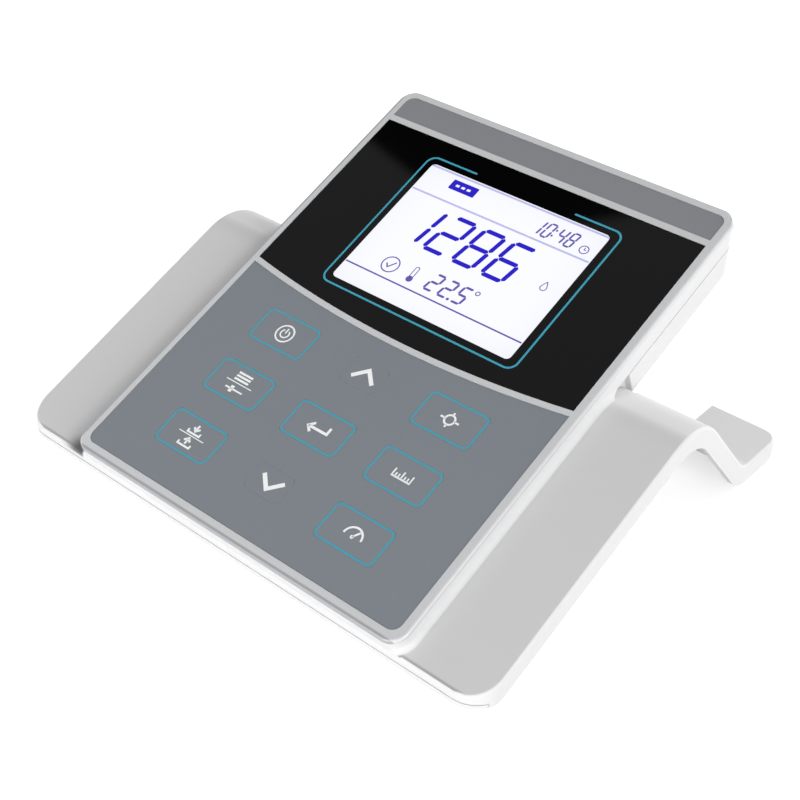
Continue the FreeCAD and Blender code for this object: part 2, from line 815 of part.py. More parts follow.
def rear_opening(label, gap):
    """The slot that both shells leave for the rear panel."""
    return rear_block(
        label, "0", f"{REAR_HALF} * 2 + 2 * ({gap})", f"{D.rear_panel_height} + 2 * ({gap})",
        f"{REAR_Y} - {D.shell_wall} * 2", f"{REAR_Y} + {D.shell_wall} * 2")


def case_bottom_block(label, half_width, front, top, inset):
    """The lower case's wedge: level underneath at the front, then parallel to the face."""
    body = new_body(label, CONSOLE)
    floor = f"(0 - {D.case_depth} + ({inset}))"
    ground = f"({D.foot_height} + {D.case_ground} + ({inset}) - {FACE_RISE})"
    front_floor = f"(({ground} - sin({D.tilt_angle}) * ({front})) / cos({D.tilt_angle}))"
    meet = f"(({ground} - cos({D.tilt_angle}) * ({floor})) / sin({D.tilt_angle}))"
    corners = [
        (front, top), (front, front_floor), (meet, floor),
        (f"{rear_along(floor)} - ({inset})", floor), (f"{rear_along(top)} - ({inset})", top),
    ]
    draw_outline(new_sketch(body, "YZ_Plane"), corners)
    add_pad(body, body.Group[-1], f"({half_width}) * 2", both_ways=True)
    return body


CASE_TOP = f"(0 - {D.shell_depth} - {D.parting_gap})"


def make_lower_shell():
    """The lower case: a tub under the console with the lip that closes the wings' front edge."""
    narrow_half = f"({HALF_SLAB} - {D.shell_wall} - {D.case_fit})"
    front = f"({D.shell_wall} + {D.case_fit})"
    narrow = overlap(
        "case_front", case_bottom_block("case_front_wedge", narrow_half, front, CASE_TOP, "0"),
        make_slab_block(
            "case_front_outline", "0", f"0 - {D.case_depth} * 2", narrow_half, front, "0",
            f"{D.slab_corner} - {D.shell_wall} - {D.case_fit}"))
    wide = overlap(
        "case_full", case_bottom_block("case_wedge", HALF_SLAB, front, CASE_TOP, "0"),
        make_slab_block("case_outline", "0", f"0 - {DEEP}", HALF_SLAB, "0", "0", D.slab_corner))
    behind_wings = f"({CREST_PLACE} + {D.leg_gap})"
    floor_level = value(f"0 - {D.case_depth}")
    to_console = CONSOLE.inverse()

    def at_floor(edge):
        spots = [to_console.multVec(vertex.Point) for vertex in edge.Vertexes]
        behind = max(spot.y for spot in spots) > value(CREST_PLACE)
        return behind and all(abs(spot.z - floor_level) < 0.01 for spot in spots)

    soft = soften("case_soft", wide, at_floor, D.case_edge)
    rear_part = overlap("case_rear", soft, block(
        "case_rear_limit", CONSOLE, f"0 - {HALF_SLAB}", HALF_SLAB, behind_wings,
        D.slab_length, f"0 - {DEEP}", "0"))
    lip_top = f"{FRONT_Z} - {D.front_edge} - {D.front_groove}"
    lip = overlap("front_lip", make_plan("lip_footprint", "0"), block(
        "lip_bar", LEVEL, f"0 - {HALF_WIDTH}", HALF_WIDTH, FRONT_Y, f"{FRONT_Y} + {D.lip_depth}",
        D.foot_height, lip_top))
    outer = fuse("case_outside", narrow, rear_part, lip)
    room_half = f"({narrow_half} - {D.case_floor})"
    room_front = f"({front} + {D.case_floor})"
    room = overlap(
        "case_room", case_bottom_block("case_room_wedge", room_half, room_front, "0", D.case_floor),
        make_slab_block("case_room_outline", "0", f"0 - {DEEP}", room_half, room_front, D.shell_wall))
    shell = cut("case_without_room", outer, room)
    bosses = []
    for across, along in CASE_SCREWS:
        bosses.append(overlap("case_screw_post", wide, post(
            "case_screw_tube", CONSOLE, across, along, f"0 - {DEEP}", D.boss_radius,
            f"{DEEP} + {CASE_TOP}")))
    shell = fuse("case_with_posts", shell, *bosses)
    holes = [rear_opening("lower_rear_opening", D.rear_panel_fit)]
    for across, along in CASE_SCREWS:
        holes.append(post("case_screw_way", CONSOLE, across, along, f"0 - {DEEP}", SCREW_HOLE, DEEP))
        holes.append(rod(
            "case_head_recess", CONSOLE, across, along, f"0 - {DEEP}",
            f"{D.screw_head_radius} + {D.case_fit}", f"{DEEP} - {D.screw_head_level}"))
    return cut("lower_shell", shell, fuse("case_holes", *holes))


def make_bezel():
    """The silver frame of the face, with its straight and bowed dividers."""
    body = new_body("bezel_frame", CONSOLE)
    sketch = new_sketch(body, "XY_Plane")
    draw_box(sketch, f"0 - {HALF_SLAB}", HALF_SLAB, "0", D.slab_length)
    add_pad(body, sketch, D.bezel_thickness, downward=True)
    round_edges(body, lambda edge: runs(edge, AXIS_Z), D.slab_corner)
    for draw in (keypad_outline("0"), display_outline("0"), strip_outline("0")):
        sketch = draw(body)
        add_pocket(body, sketch, f"{D.bezel_thickness} + {D.cut_past}")
    inner = value(INNER_HALF)
    low = value(D.border_front)
    high = value(f"{D.slab_length} - {D.border_top}")

    def face_corner(edge):
        spot = edge.CenterOfMass
        at_end = abs(spot.y - low) < 0.1 or abs(spot.y - high) < 0.1
        return runs(edge, AXIS_Z) and at_end and abs(abs(spot.x) - inner) < 0.1

    round_edges(body, face_corner, D.face_corner)

    def face_rim(edge):
        return abs(edge.CenterOfMass.z) < 0.001 and (
            abs(edge.CenterOfMass.x) > inner + 0.1
            or edge.CenterOfMass.y < low - 0.1 or edge.CenterOfMass.y > high + 0.1)

    round_edges(body, face_rim, D.bezel_edge)
    return body


def keypad_outline(gap):
    """Outline of the keypad's window, bowed along its top side."""
    side = f"({INNER_HALF} - ({gap}))"
    low = f"({D.border_front} + ({gap}))"
    top = f"({DIVIDER_PLACE} - {D.divider_width} - ({gap}))"

    def draw(body, offset=None):
        sketch = new_sketch(body, "XY_Plane", offset)
        corners = [(f"0 - {side}", low), (side, low), (side, top), (f"0 - {side}", top)]
        return draw_outline(sketch, corners, {2: (f"{BOW} + {D.divider_width}", -1)})
    return draw


def display_outline(gap):
    """Outline of the display's window, bowed along its bottom side."""
    side = f"({INNER_HALF} - ({gap}))"
    low = f"({DIVIDER_PLACE} + ({gap}))"
    top = f"({STRIP_PLACE} - ({gap}))"

    def draw(body, offset=None):
        sketch = new_sketch(body, "XY_Plane", offset)
        corners = [(f"0 - {side}", low), (side, low), (side, top), (f"0 - {side}", top)]
        return draw_outline(sketch, corners, {0: (BOW, 1)})
    return draw


def strip_outline(gap):
    """Outline of the narrow strip's window at the top of the face."""
    side = f"({INNER_HALF} - ({gap}))"
    low = f"({STRIP_PLACE} + {D.strip_divider} + ({gap}))"
    top = f"({D.slab_length} - {D.border_top} - ({gap}))"

    def draw(body, offset=None):
        return draw_box(new_sketch(body, "XY_Plane", offset), f"0 - {side}", side, low, top)
    return draw


def panel_from(label, draw):
    """A flat panel laid on the deck inside a window of the frame."""
    body = new_body(label, CONSOLE)
    add_pad(body, draw(body, PANEL_TOP), PANEL_THICKNESS, downward=True)
    return body


def draw_key(sketch, name, gap):
    """A key's outline with its corners taken off, larger than the key by gap."""
    across, along, width, length = key_place(name)
    x = f"({width} / 2 + ({gap}))"
    y = f"({length} / 2 + ({gap}))"
    short_x = f"({x} - {D.key_corner})"
    short_y = f"({y} - {D.key_corner})"
    steps = [(x, short_y, 1, 1), (short_x, y, 1, 1), (short_x, y, -1, 1), (x, short_y, -1, 1)]
    steps += [(x, short_y, -1, -1), (short_x, y, -1, -1), (short_x, y, 1, -1), (x, short_y, 1, -1)]
    corners = [
        (f"{across} + ({x_side}) * {dx}", f"{along} + ({y_side}) * {dy}")
        for dx, dy, x_side, y_side in steps
    ]
    return draw_outline(sketch, corners)


def make_keypad_panel():
    body = panel_from("keypad_panel", keypad_outline(D.panel_fit))
    for name in KEYS:
        sketch = new_sketch(body, "XY_Plane", PANEL_TOP)
        draw_key(sketch, name, D.key_gap)
        add_pocket(body, sketch, f"{PANEL_THICKNESS} + {D.cut_past}")
    round_edges(body, panel_corner(D.border_front), f"{D.face_corner} - {D.panel_fit}")
    return body


def panel_corner(along):
    """Picks the upright edges at a panel's two corners that are near a place along the face."""
    near = value(D.face_corner)
    side = value(INNER_HALF)

    def wanted(edge):
        spot = edge.CenterOfMass
        at_side = abs(spot.x) > side - near
        return runs(edge, AXIS_Z) and at_side and abs(spot.y - value(along)) < near
    return wanted


def make_top_strip():
    body = panel_from("top_strip", strip_outline(D.panel_fit))
    top = f"({D.slab_length} - {D.border_top})"
    round_edges(body, panel_corner(top), f"{D.face_corner} - {D.panel_fit}")
    return body


def make_key(name):
    """A key: its flat cap, the square stem through the deck and the collar that keeps it in."""
    across, along = key_place(name)[:2]
    body = new_body(name, CONSOLE)
    cap = draw_key(new_sketch(body, "XY_Plane", PANEL_TOP), name, "0")
    add_pad(body, cap, D.key_cap, downward=True)
    collar_top = f"({DECK_UNDER} - {D.collar_gap})"
    cap_middle = f"({PANEL_TOP} - {D.key_cap} / 2)"
    stem_foot = f"({collar_top} - {D.collar_height} - {D.stem_end})"
    for half, top, foot in (
        (f"({D.stem_width} / 2)", cap_middle, stem_foot),
        (f"({D.collar_width} / 2)", collar_top, f"({collar_top} - {D.collar_height})"),
    ):
        sketch = new_sketch(body, "XY_Plane", top)
        draw_box(
            sketch, f"{across} - {half}", f"{across} + {half}", f"{along} - {half}", f"{along} + {half}")
        add_pad(body, sketch, f"{top} - {foot}", downward=True)
    return body


def make_switches():
    """A push switch under each stem."""
    pieces = []
    switch_top = f"({BOARD_TOP} + {D.switch_height})"
    for name in KEYS:
        across, along = key_place(name)[:2]
        body = square_bar("switch_body", across, along, D.switch_size, BOARD_TOP, switch_top)
        button = post(
            "switch_button", CONSOLE, across, along, switch_top, D.switch_button_radius,
            D.switch_button)
        pieces.append(fuse("switch", body, button))
    return gather("push_switches", pieces)


def gather(label, pieces):
    """Like pieces kept as separate solids in one node."""
    item = doc.addObject("Part::Compound", label)
    item.Label = label
    item.Links = pieces
    doc.recompute()
    return item


def make_board(label, board):
    blank = block(
        label + "_blank", CONSOLE, f"0 - {board['half']}", board["half"], board["start"],
        board["end"], BOARD_UNDER, BOARD_TOP)
    holes = [
        post("board_hole", CONSOLE, across, along, f"{BOARD_UNDER} - {D.cut_past}", SCREW_HOLE,
             f"{D.board_thickness} + 2 * {D.cut_past}")
        for across, along in board_screws(board)
    ]
    return cut(label, blank, fuse(label + "_holes", *holes))


def make_case_screws():
    """The screws that hold the lower case to the upper shell."""
    pieces = []
    for across, along in CASE_SCREWS:
        head_under = f"(0 - {D.screw_head_level})"
        shank = post("case_shank", CONSOLE, across, along, head_under, D.screw_radius, D.screw_length)
        head = rod(
            "case_head", CONSOLE, across, along, f"{head_under} - {D.screw_head_height}",
            D.screw_head_radius, D.screw_head_height)
        pieces.append(fuse("case_screw", shank, head))
    return gather("case_screws", pieces)


def make_board_screws(label, board):
    pieces = []
    for across, along in board_screws(board):
        shank = post(
            "board_shank", CONSOLE, across, along, BOARD_UNDER, D.screw_radius, D.board_screw_length)
        head = post(
            "board_head", CONSOLE, across, along, f"{BOARD_UNDER} - {D.board_screw_head_height}",
            D.board_screw_head_radius, D.board_screw_head_height)
        pieces.append(fuse("board_screw", shank, head))
    return gather(label, pieces)


GLASS_TOP = f"({DECK_TOP} - {D.glass_gap})"
GLASS_UNDER = f"({GLASS_TOP} - {D.glass_thickness})"
LIGHT_UNDER = f"({GLASS_UNDER} - {D.backlight_thickness})"


def window_block(label, extra, low, high):
    """A block round the display's centre, larger than the glass by extra on each side."""
    across = f"({GLASS_WIDTH} / 2 + ({extra}))"
    along = f"({GLASS_LENGTH} / 2 + ({extra}))"
    return block(
        label, CONSOLE, f"0 - {across}", across, f"{WINDOW_PLACE} - {along}",
        f"{WINDOW_PLACE} + {along}", low, high)


def make_display_holder():
    """The open tray that holds the glass and its light on the main board."""
    outside = window_block("holder_outside", D.holder_wall, BOARD_TOP, f"{DECK_UNDER} - {D.case_fit}")
    inside = window_block("holder_inside", D.holder_fit, LIGHT_UNDER, "0")
    below = window_block("holder_opening", f"0 - {D.holder_ledge}", f"{BOARD_TOP} - {D.cut_past}", "0")
    return cut("display_holder", outside, fuse("holder_room", inside, below))


BACKWARD = Rotation(AXIS_X, -90)


def rear_rod(label, x, start, radius, length):
    """A round bar that points to the back at the rear panel's level."""
    return rod(label, LEVEL, x, start, REAR_Z, radius, length, BACKWARD)


def rear_block(label, x, width, height, start, end):
    """A block that points to the back at the rear panel's level."""
    return block(
        label, LEVEL, f"{x} - ({width}) / 2", f"{x} + ({width}) / 2", start, end,
        f"{REAR_Z} - ({height}) / 2", f"{REAR_Z} + ({height}) / 2")


def make_rear_panel():
    plate = rear_block(
        "panel_plate", "0", f"{REAR_HALF} * 2", D.rear_panel_height, REAR_INSIDE, REAR_Y)
    start = f"{REAR_INSIDE} - {D.cut_past}"
    through = f"{D.rear_panel_thickness} + 2 * {D.cut_past}"
    fit = D.socket_fit
    holes = [
        rear_rod("probe_hole", PROBE_X, start, f"{D.probe_socket_radius} + {fit}", through),
        rear_rod("sense_hole", SENSE_X, start, f"{D.sense_socket_radius} + {fit}", through),
        rear_block(
            "data_hole", DATA_X, f"{D.data_width} + 2 * {fit}", f"{D.data_height} + 2 * {fit}",
            start, f"{REAR_Y} + {D.cut_past}"),
        rear_block(
            "power_hole", POWER_X, f"{D.power_width} + 2 * {fit}", f"{D.power_height} + 2 * {fit}",
            start, f"{REAR_Y} + {D.cut_past}"),
    ]
    return cut("rear_panel", plate, fuse("panel_holes", *holes))


def make_flange(label, x, radius):
    """The step of a round socket that lies against the panel's inside."""
    return rear_rod(
        label, x, f"{REAR_INSIDE} - {D.flange_thickness}", f"{radius} + {D.flange_width}",
        D.flange_thickness)


def make_probe_socket():
    """The round socket of the measuring cell, with its bayonet barrel and flange."""
    inside = f"({REAR_INSIDE} - {D.probe_socket_inside})"
    flange = make_flange("probe_flange", PROBE_X, D.probe_socket_radius)
    barrel = rear_rod(
        "probe_barrel", PROBE_X, inside, D.probe_socket_radius, f"{BACK_EDGE} - {inside}")
    lug = post(
        "probe_lug", LEVEL, f"{PROBE_X} - {D.probe_lug_reach}", f"{BACK_EDGE} - {D.probe_lug_place}",
        REAR_Z, D.probe_lug_radius, f"{D.probe_lug_reach} * 2", Rotation(AXIS_Y, 90))
    bore = rear_rod(
        "probe_bore", PROBE_X, f"{REAR_Y} + {D.cut_past}", D.probe_bore_radius, D.probe_socket_reach)
    return cut("probe_socket", fuse("probe_outside", flange, barrel, lug), bore)


def make_probe_core():
    """The white insulator and contact inside the socket of the measuring cell."""
    start = f"({REAR_Y} + {D.cut_past})"
    core = rear_rod(
        "core_sleeve", PROBE_X, start, D.core_radius, f"{BACK_EDGE} - {D.cut_past} - {start}")
    hole = rear_rod(
        "core_hole", PROBE_X, f"{start} + 2 * {D.cut_past}", D.core_bore_radius, D.probe_socket_reach)
    return cut("probe_socket_core", core, hole)


def make_nut(label, x, thread_radius):
    """A thin hexagonal nut on the outside of the rear panel."""
    prism = doc.addObject("Part::Prism", label + "_blank")
    prism.Polygon = 6
    set_size(
        prism, Circumradius=f"({thread_radius} + {D.nut_wall}) / cos(30)", Height=D.nut_height)
    place(prism, LEVEL, x, REAR_Y, REAR_Z, BACKWARD)
    doc.recompute()
    hole = rear_rod(
        label + "_thread", x, f"{REAR_Y} - {D.cut_past}", f"{thread_radius} + {D.screw_fit}",
        f"{D.nut_height} + 2 * {D.cut_past}")
    return cut(label, prism, hole)


def make_sense_socket():
    """The small round socket of the temperature probe."""
    inside = f"({REAR_INSIDE} - {D.sense_socket_inside})"
    flange = make_flange("sense_flange", SENSE_X, D.sense_socket_radius)
    barrel = rear_rod(
        "sense_barrel", SENSE_X, inside, D.sense_socket_radius,
        f"{REAR_Y} + {D.sense_socket_reach} - {inside}")
    bore = rear_rod(
        "sense_bore", SENSE_X, f"{REAR_Y} - {D.sense_bore_depth}", D.sense_bore_radius,
        f"{D.sense_bore_depth} + {D.sense_socket_reach} + {D.cut_past}")
    return cut("temperature_socket", fuse("sense_outside", flange, barrel), bore)


def make_data_socket():
    """The square data socket in its metal shield."""
    face = f"({REAR_Y} + {D.socket_proud})"
    back = f"({REAR_Y} - {D.data_depth})"
    shield = rear_block("data_shield", DATA_X, D.data_width, D.data_height, back, face)
    mouth = rear_block(
        "data_mouth", DATA_X, f"{D.data_width} - 2 * {D.data_wall}",
        f"{D.data_height} - 2 * {D.data_wall}", f"{back} + {D.data_back}", f"{face} + {D.cut_past}")
    tongue = rear_block(
        "data_tongue", DATA_X, D.data_tongue_width, D.data_tongue_height,
        f"{back} + {D.data_back} / 2", f"{face} - {D.cut_past}")
    return fuse("data_socket", cut("data_shell", shield, mouth), tongue)


def make_power_socket():
    """The round mains-adapter socket with its centre pin."""
    face = f"({REAR_Y} + {D.socket_proud})"
    body = rear_block(
        "power_body", POWER_X, D.power_width, D.power_height, f"{REAR_Y} - {D.power_depth}", face)
    bottom = f"({REAR_Y} - {D.power_bore_depth})"
    bore = rear_rod("power_bore", POWER_X, bottom, D.power_bore_radius, D.power_depth)
    pin = rear_rod(
        "power_pin", POWER_X, f"{bottom} - {D.cut_past} / 2", D.power_pin_radius,
        f"{D.power_bore_depth} - {D.cut_past} / 2")
    return fuse("power_socket", cut("power_shell", body, bore), pin)


FOOT_REAR_X = f"(({HALF_SLAB} + {D.leg_gap} + {HALF_WIDTH}) / 2)"
FOOT_REAR_PLACE = f"({TAIL_REACH} - {D.foot_rear_inset})"
FOOT_FRONT_PLACE = f"({FRONT_Y} + {D.lip_depth} + {D.foot_radius} + {D.cut_past})"


def make_feet():
    feet = []
    for side, name in ((-1, "left"), (1, "right")):
        feet.append(rod(
            "foot_front_" + name, LEVEL, f"({side}) * ({HALF_SLAB} - {D.foot_front_side})",
            FOOT_FRONT_PLACE, "0", D.foot_radius, f"{D.foot_height} + {D.case_ground}"))
        feet.append(rod(
            "foot_rear_" + name, LEVEL, f"({side}) * {FOOT_REAR_X}", FOOT_REAR_PLACE, "0",
            D.foot_radius, D.foot_height))
    return feet


def under_board(label, x_low, x_high, y_low, y_high, height):
    """A component under the boards, between limits in the console's frame."""
    low = f"{BOARD_UNDER} - ({height})"
    return block(label, CONSOLE, x_low, x_high, y_low, y_high, low, BOARD_UNDER)


def make_components():
    """The main parts under the boards, and the cable between the boards."""
    cell_along = f"({WINDOW_PLACE} + {D.cell_shift})"
    shield_x = f"({D.shield_inset} - {MAIN_BOARD['half']})"
    shield_y = f"({WINDOW_PLACE} + {D.shield_gap})"
    chip = f"({D.processor_size} / 2)"
    cradle_half = f"({D.cell_radius} + {D.cradle_wall})"
    cradle_end = f"({D.cradle_length} / 2)"
    cradle_height = f"({D.cell_height} + {D.cradle_floor})"
    cradle_blank = under_board(
        "cradle_blank", f"{D.cell_x} - {cradle_half}", f"{D.cell_x} + {cradle_half}",
        f"{cell_along} - {cradle_end}", f"{cell_along} + {cradle_end}", cradle_height)
    cradle_room = rod(
        "cradle_room", CONSOLE, D.cell_x, cell_along,
        f"{BOARD_UNDER} - {cradle_height} - {D.cut_past}", f"{D.cell_radius} + {D.cell_fit}",
        f"{D.cell_height} + {D.cut_past}")
    return [
        under_board(
            "ribbon_cable", f"0 - {D.cable_width} / 2", f"{D.cable_width} / 2",
            f"{KEY_BOARD['end']} - {D.cable_grip}", f"{MAIN_BOARD['start']} + {D.cable_grip}",
            D.cable_thickness),
        under_board(
            "measuring_shield", shield_x, f"{shield_x} + {D.shield_width}", shield_y,
            f"{shield_y} + {D.shield_length}", D.shield_height),
        under_board(
            "processor", f"0 - {chip}", chip, f"{WINDOW_PLACE} - {chip}", f"{WINDOW_PLACE} + {chip}",
            D.processor_height),
        rod(
            "coin_cell", CONSOLE, D.cell_x, cell_along, f"{BOARD_UNDER} - {cradle_height}",
            D.cell_radius, D.cell_height),
        cut("cell_cradle", cradle_blank, cradle_room),
        rod(
            "beeper", CONSOLE, D.cell_x, f"{WINDOW_PLACE} - {D.beeper_shift}",
            f"{BOARD_UNDER} - {D.beeper_height}", D.beeper_radius, D.beeper_height),
    ]


nodes = [
    make_upper_shell(), make_lower_shell(), make_bezel(), make_keypad_panel(),
    panel_from("display_lens", display_outline(D.panel_fit)), make_top_strip(),
    window_block("display_glass", "0", GLASS_UNDER, GLASS_TOP),
    window_block("backlight", "0", LIGHT_UNDER, GLASS_UNDER), make_display_holder(),
    make_board("main_board", MAIN_BOARD), make_board("key_board", KEY_BOARD), make_switches(),
    make_case_screws(), make_board_screws("main_board_screws", MAIN_BOARD),
    make_board_screws("key_board_screws", KEY_BOARD),
    make_rear_panel(), make_probe_socket(), make_probe_core(), make_sense_socket(),
    make_data_socket(), make_power_socket(),
    make_nut("probe_nut", PROBE_X, D.probe_socket_radius),
    make_nut("temperature_nut", SENSE_X, D.sense_socket_radius),
]
nodes += [make_key(name) for name in KEYS]
nodes += make_feet()
nodes += make_components()

doc.recompute()
for item in doc.Objects:
    if "Invalid" in item.State or "Error" in item.State:
        raise RuntimeError("%s failed" % item.Name)
for item in nodes:
    if item.Shape.isNull() or not item.Shape.isValid():
        raise RuntimeError("%s has no valid shape" % item.Label)
os.makedirs("parts", exist_ok=True)
for item in nodes:
    item.Shape.exportStep("parts/%s.step" % item.Label)
print(len(nodes), "nodes")
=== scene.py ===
import json
import math

import bmesh
import bpy
from mathutils import Matrix, Vector


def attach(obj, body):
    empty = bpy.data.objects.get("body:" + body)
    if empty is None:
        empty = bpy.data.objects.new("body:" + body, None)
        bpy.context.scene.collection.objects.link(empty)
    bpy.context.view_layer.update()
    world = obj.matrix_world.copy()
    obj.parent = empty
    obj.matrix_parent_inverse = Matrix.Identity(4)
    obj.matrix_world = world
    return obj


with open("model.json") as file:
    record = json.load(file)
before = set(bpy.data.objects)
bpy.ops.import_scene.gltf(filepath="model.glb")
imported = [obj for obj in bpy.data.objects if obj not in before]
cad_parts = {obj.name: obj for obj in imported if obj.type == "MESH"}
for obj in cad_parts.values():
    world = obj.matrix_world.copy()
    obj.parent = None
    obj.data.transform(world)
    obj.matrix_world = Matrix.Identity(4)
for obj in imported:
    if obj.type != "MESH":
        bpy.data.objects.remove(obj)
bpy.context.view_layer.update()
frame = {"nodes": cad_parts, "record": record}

# Coordinates on the console's face: millimetres, x to the right, y up the slope from the front
# edge, z out of the face. FACE takes them, in metres, to the bench.
MM = 0.001
FACE_TILT = math.radians(23)
FACE_ORIGIN = (0, -0.1017513, 0.012767)
FACE = Matrix.Translation(FACE_ORIGIN) @ Matrix.Rotation(FACE_TILT, 4, "X")

ACROSS_THE_FACE = (1, 0, 0)
UP_THE_FACE = (0, math.cos(FACE_TILT), math.sin(FACE_TILT))
OUT_OF_THE_FACE = (0, -math.sin(FACE_TILT), math.cos(FACE_TILT))

# Levels over the face: the panels' and keys' top, and the top of the display's picture, which
# lies on the black panel. An ink is as thick as INK on whatever it is printed on.
PANEL_TOP = -0.2
PICTURE_TOP = PANEL_TOP + 0.03
INK = 0.02

# The display's window: its left, bottom, right and top edges.
WINDOW = (-44.0, 113.5, 44.0, 180.5)
WINDOW_CORNER = 2.0

# Each key's body and the middle of its top.
KEYS = {
    "key_power": ("power_button", -41.2, 81.5),
    "key_mode": ("mode_button", -41.2, 54.0),
    "key_memory": ("memory_button", -41.2, 26.5),
    "key_up": ("up_button", 0.0, 81.5),
    "key_enter": ("enter_button", 0.0, 54.0),
    "key_down": ("down_button", 0.0, 26.5),
    "key_calibrate": ("calibrate_button", 41.2, 81.5),
    "key_unit": ("unit_button", 41.2, 54.0),
    "key_measure": ("measure_button", 41.2, 26.5),
}
CHEVRON_KEYS = ("key_up", "key_down")


class Value:
    """What comes out of a node. Arithmetic on a number adds Math nodes."""

    def __init__(self, tree, socket):
        self.tree = tree
        self.socket = socket

    def worked(self, operation, *others):
        """What a Math node makes of this value and the others."""
        feeds = dict(enumerate((self, *others)))
        return self.tree.add("ShaderNodeMath", {"operation": operation}, feeds)["Value"]

    def __add__(self, other):
        return self.worked("ADD", other)

    def __mul__(self, other):
        return self.worked("MULTIPLY", other)

    def __sub__(self, other):
        return self.worked("SUBTRACT", other)

    def __rsub__(self, other):
        return (self * -1) + other

    def __pow__(self, other):
        return self.worked("POWER", other)

    def __abs__(self):
        return self.worked("ABSOLUTE")

    def __gt__(self, other):
        return self.worked("GREATER_THAN", other)

    def clamp(self):
        """The value kept between 0 and 1."""
        settings = {"operation": "ADD", "use_clamp": True}
        return self.tree.add("ShaderNodeMath", settings, {0: self, 1: 0.0})["Value"]

    __radd__ = __add__
    __rmul__ = __mul__


class Outputs:
    """A node that was added. Its outputs are read by name or number."""

    def __init__(self, tree, node):
        self.tree = tree
        self.node = node

    def __getitem__(self, name):
        return Value(self.tree, self.node.outputs[name])


class Tree:
    """The nodes of one finish, of the floor or of the world."""

    def __init__(self, owner):
        owner.use_nodes = True
        self.nodes = owner.node_tree.nodes
        self.links = owner.node_tree.links
        self.nodes.clear()

    def add(self, kind, settings=None, feeds=None):
        """A node with its settings, and then what goes into its sockets."""
        node = self.nodes.new(kind)
        for name, value in (settings or {}).items():
            if name == "stops":
                self.set_stops(node.color_ramp, value)
            else:
                setattr(node, name, value)
        for name, value in (feeds or {}).items():
            self.feed(node.inputs[name], value)
        return Outputs(self, node)

    def set_stops(self, ramp, stops):
        while len(ramp.elements) < len(stops):
            ramp.elements.new(0.5)
        for element, (position, grey) in zip(ramp.elements, stops):
            element.position = position
            element.color = (grey, grey, grey, 1)

    def feed(self, socket, value):
        if isinstance(value, Value):
            self.links.new(value.socket, socket)
        elif isinstance(value, tuple) and len(value) == 3 and socket.type == "RGBA":
            socket.default_value = (*value, 1)
        else:
            socket.default_value = value

    def mix(self, factor, first, second):
        """One colour turning into another."""
        return self.add("ShaderNodeMix", {"data_type": "RGBA"},
                        {0: factor, 6: first, 7: second})[2]

    def multiply(self, first, second):
        """One colour times another."""
        return self.add("ShaderNodeMix", {"data_type": "RGBA", "blend_type": "MULTIPLY"},
                        {0: 1.0, 6: first, 7: second})[2]

    def place(self):
        """Where a point is in its piece's own coordinates, in metres."""
        return self.add("ShaderNodeTexCoord")["Object"]

    def stretched(self, scale, turn=(0, 0, 0)):
        """The place with a scale for each direction, for lines and wipes."""
        return self.add("ShaderNodeMapping", None, {
            "Vector": self.place(), "Rotation": turn, "Scale": scale})["Vector"]

    def noise(self, scale, detail=2.0, vector=None):
        """A cloudy value from 0 to 1. scale is in clouds per metre."""
        at = vector or self.place()
        return self.add("ShaderNodeTexNoise", None,
                        {"Vector": at, "Scale": scale, "Detail": detail})[0]

    def cells(self, scale, feature="F1"):
        """A pattern of cells. scale is in cells per metre."""
        return self.add("ShaderNodeTexVoronoi", {"feature": feature},
                        {"Vector": self.place(), "Scale": scale})

    def towards(self, facing, way):
        """How far a surface faces a way: 1 when it looks straight there."""
        return self.add("ShaderNodeVectorMath", {"operation": "DOT_PRODUCT"},
                        {0: facing, 1: way})["Value"]

    def along(self, way):
        """Where a point of a CAD node is on one of the face's directions, in millimetres."""
        start = Vector(FACE_ORIGIN).dot(Vector(way))
        return (self.towards(self.place(), way) - start) * (1 / MM)

    def ramp(self, value, start, end):
        """0 up to start and 1 from end on, smooth between. end may be the lower one."""
        return self.add("ShaderNodeMapRange", {"interpolation_type": "SMOOTHSTEP"}, {
            "Value": value, "From Min": start, "From Max": end})["Result"]

    def bump(self, height, distance, strength):
        return self.add("ShaderNodeBump", None, {
            "Height": height, "Distance": distance, "Strength": strength})["Normal"]

    def surface(self, **feeds):
        """The finish itself. A keyword's underscores are the blanks of the socket's name."""
        named = {name.replace("_", " ").title().replace("Ior", "IOR"): value
                 for name, value in feeds.items()}
        shader = self.add("ShaderNodeBsdfPrincipled", None, named)["BSDF"]
        self.add("ShaderNodeOutputMaterial", None, {"Surface": shader})


def colour(red, green, blue):
    """A screen colour of 0 to 255 as light."""
    def light(part):
        part = part / 255
        return part / 12.92 if part <= 0.04045 else ((part + 0.055) / 1.055) ** 2.4
    return light(red), light(green), light(blue)


def shade(tone, factor):
    return tuple(part * factor for part in tone)


def new_finish(name):
    material = bpy.data.materials.new(name)
    return material, Tree(material)


def moulded_skin(tree, roughness, grain):
    """What all moulded plastic has: faint flow clouds, and a fine spark-eroded grain as values of
    the finish's sockets. grain is its depth in millimetres."""
    clouds = tree.noise(24, 3)
    fine = tree.noise(1900, 2)
    pores = tree.noise(5200, 1)
    return clouds, {
        "roughness": roughness - 0.05 + clouds * 0.06 + pores * 0.05,
        "normal": tree.bump(fine + pores * 0.5, grain * MM, 0.5),
        "specular_ior_level": 0.45,
    }


def moulded_plastic(name, tone, roughness, grain=0.012):
    """Injection moulded plastic in one tone."""
    material, tree = new_finish(name)
    clouds, skin = moulded_skin(tree, roughness, grain)
    tree.surface(base_color=tree.mix(clouds, shade(tone, 0.965), tone), **skin)
    return material


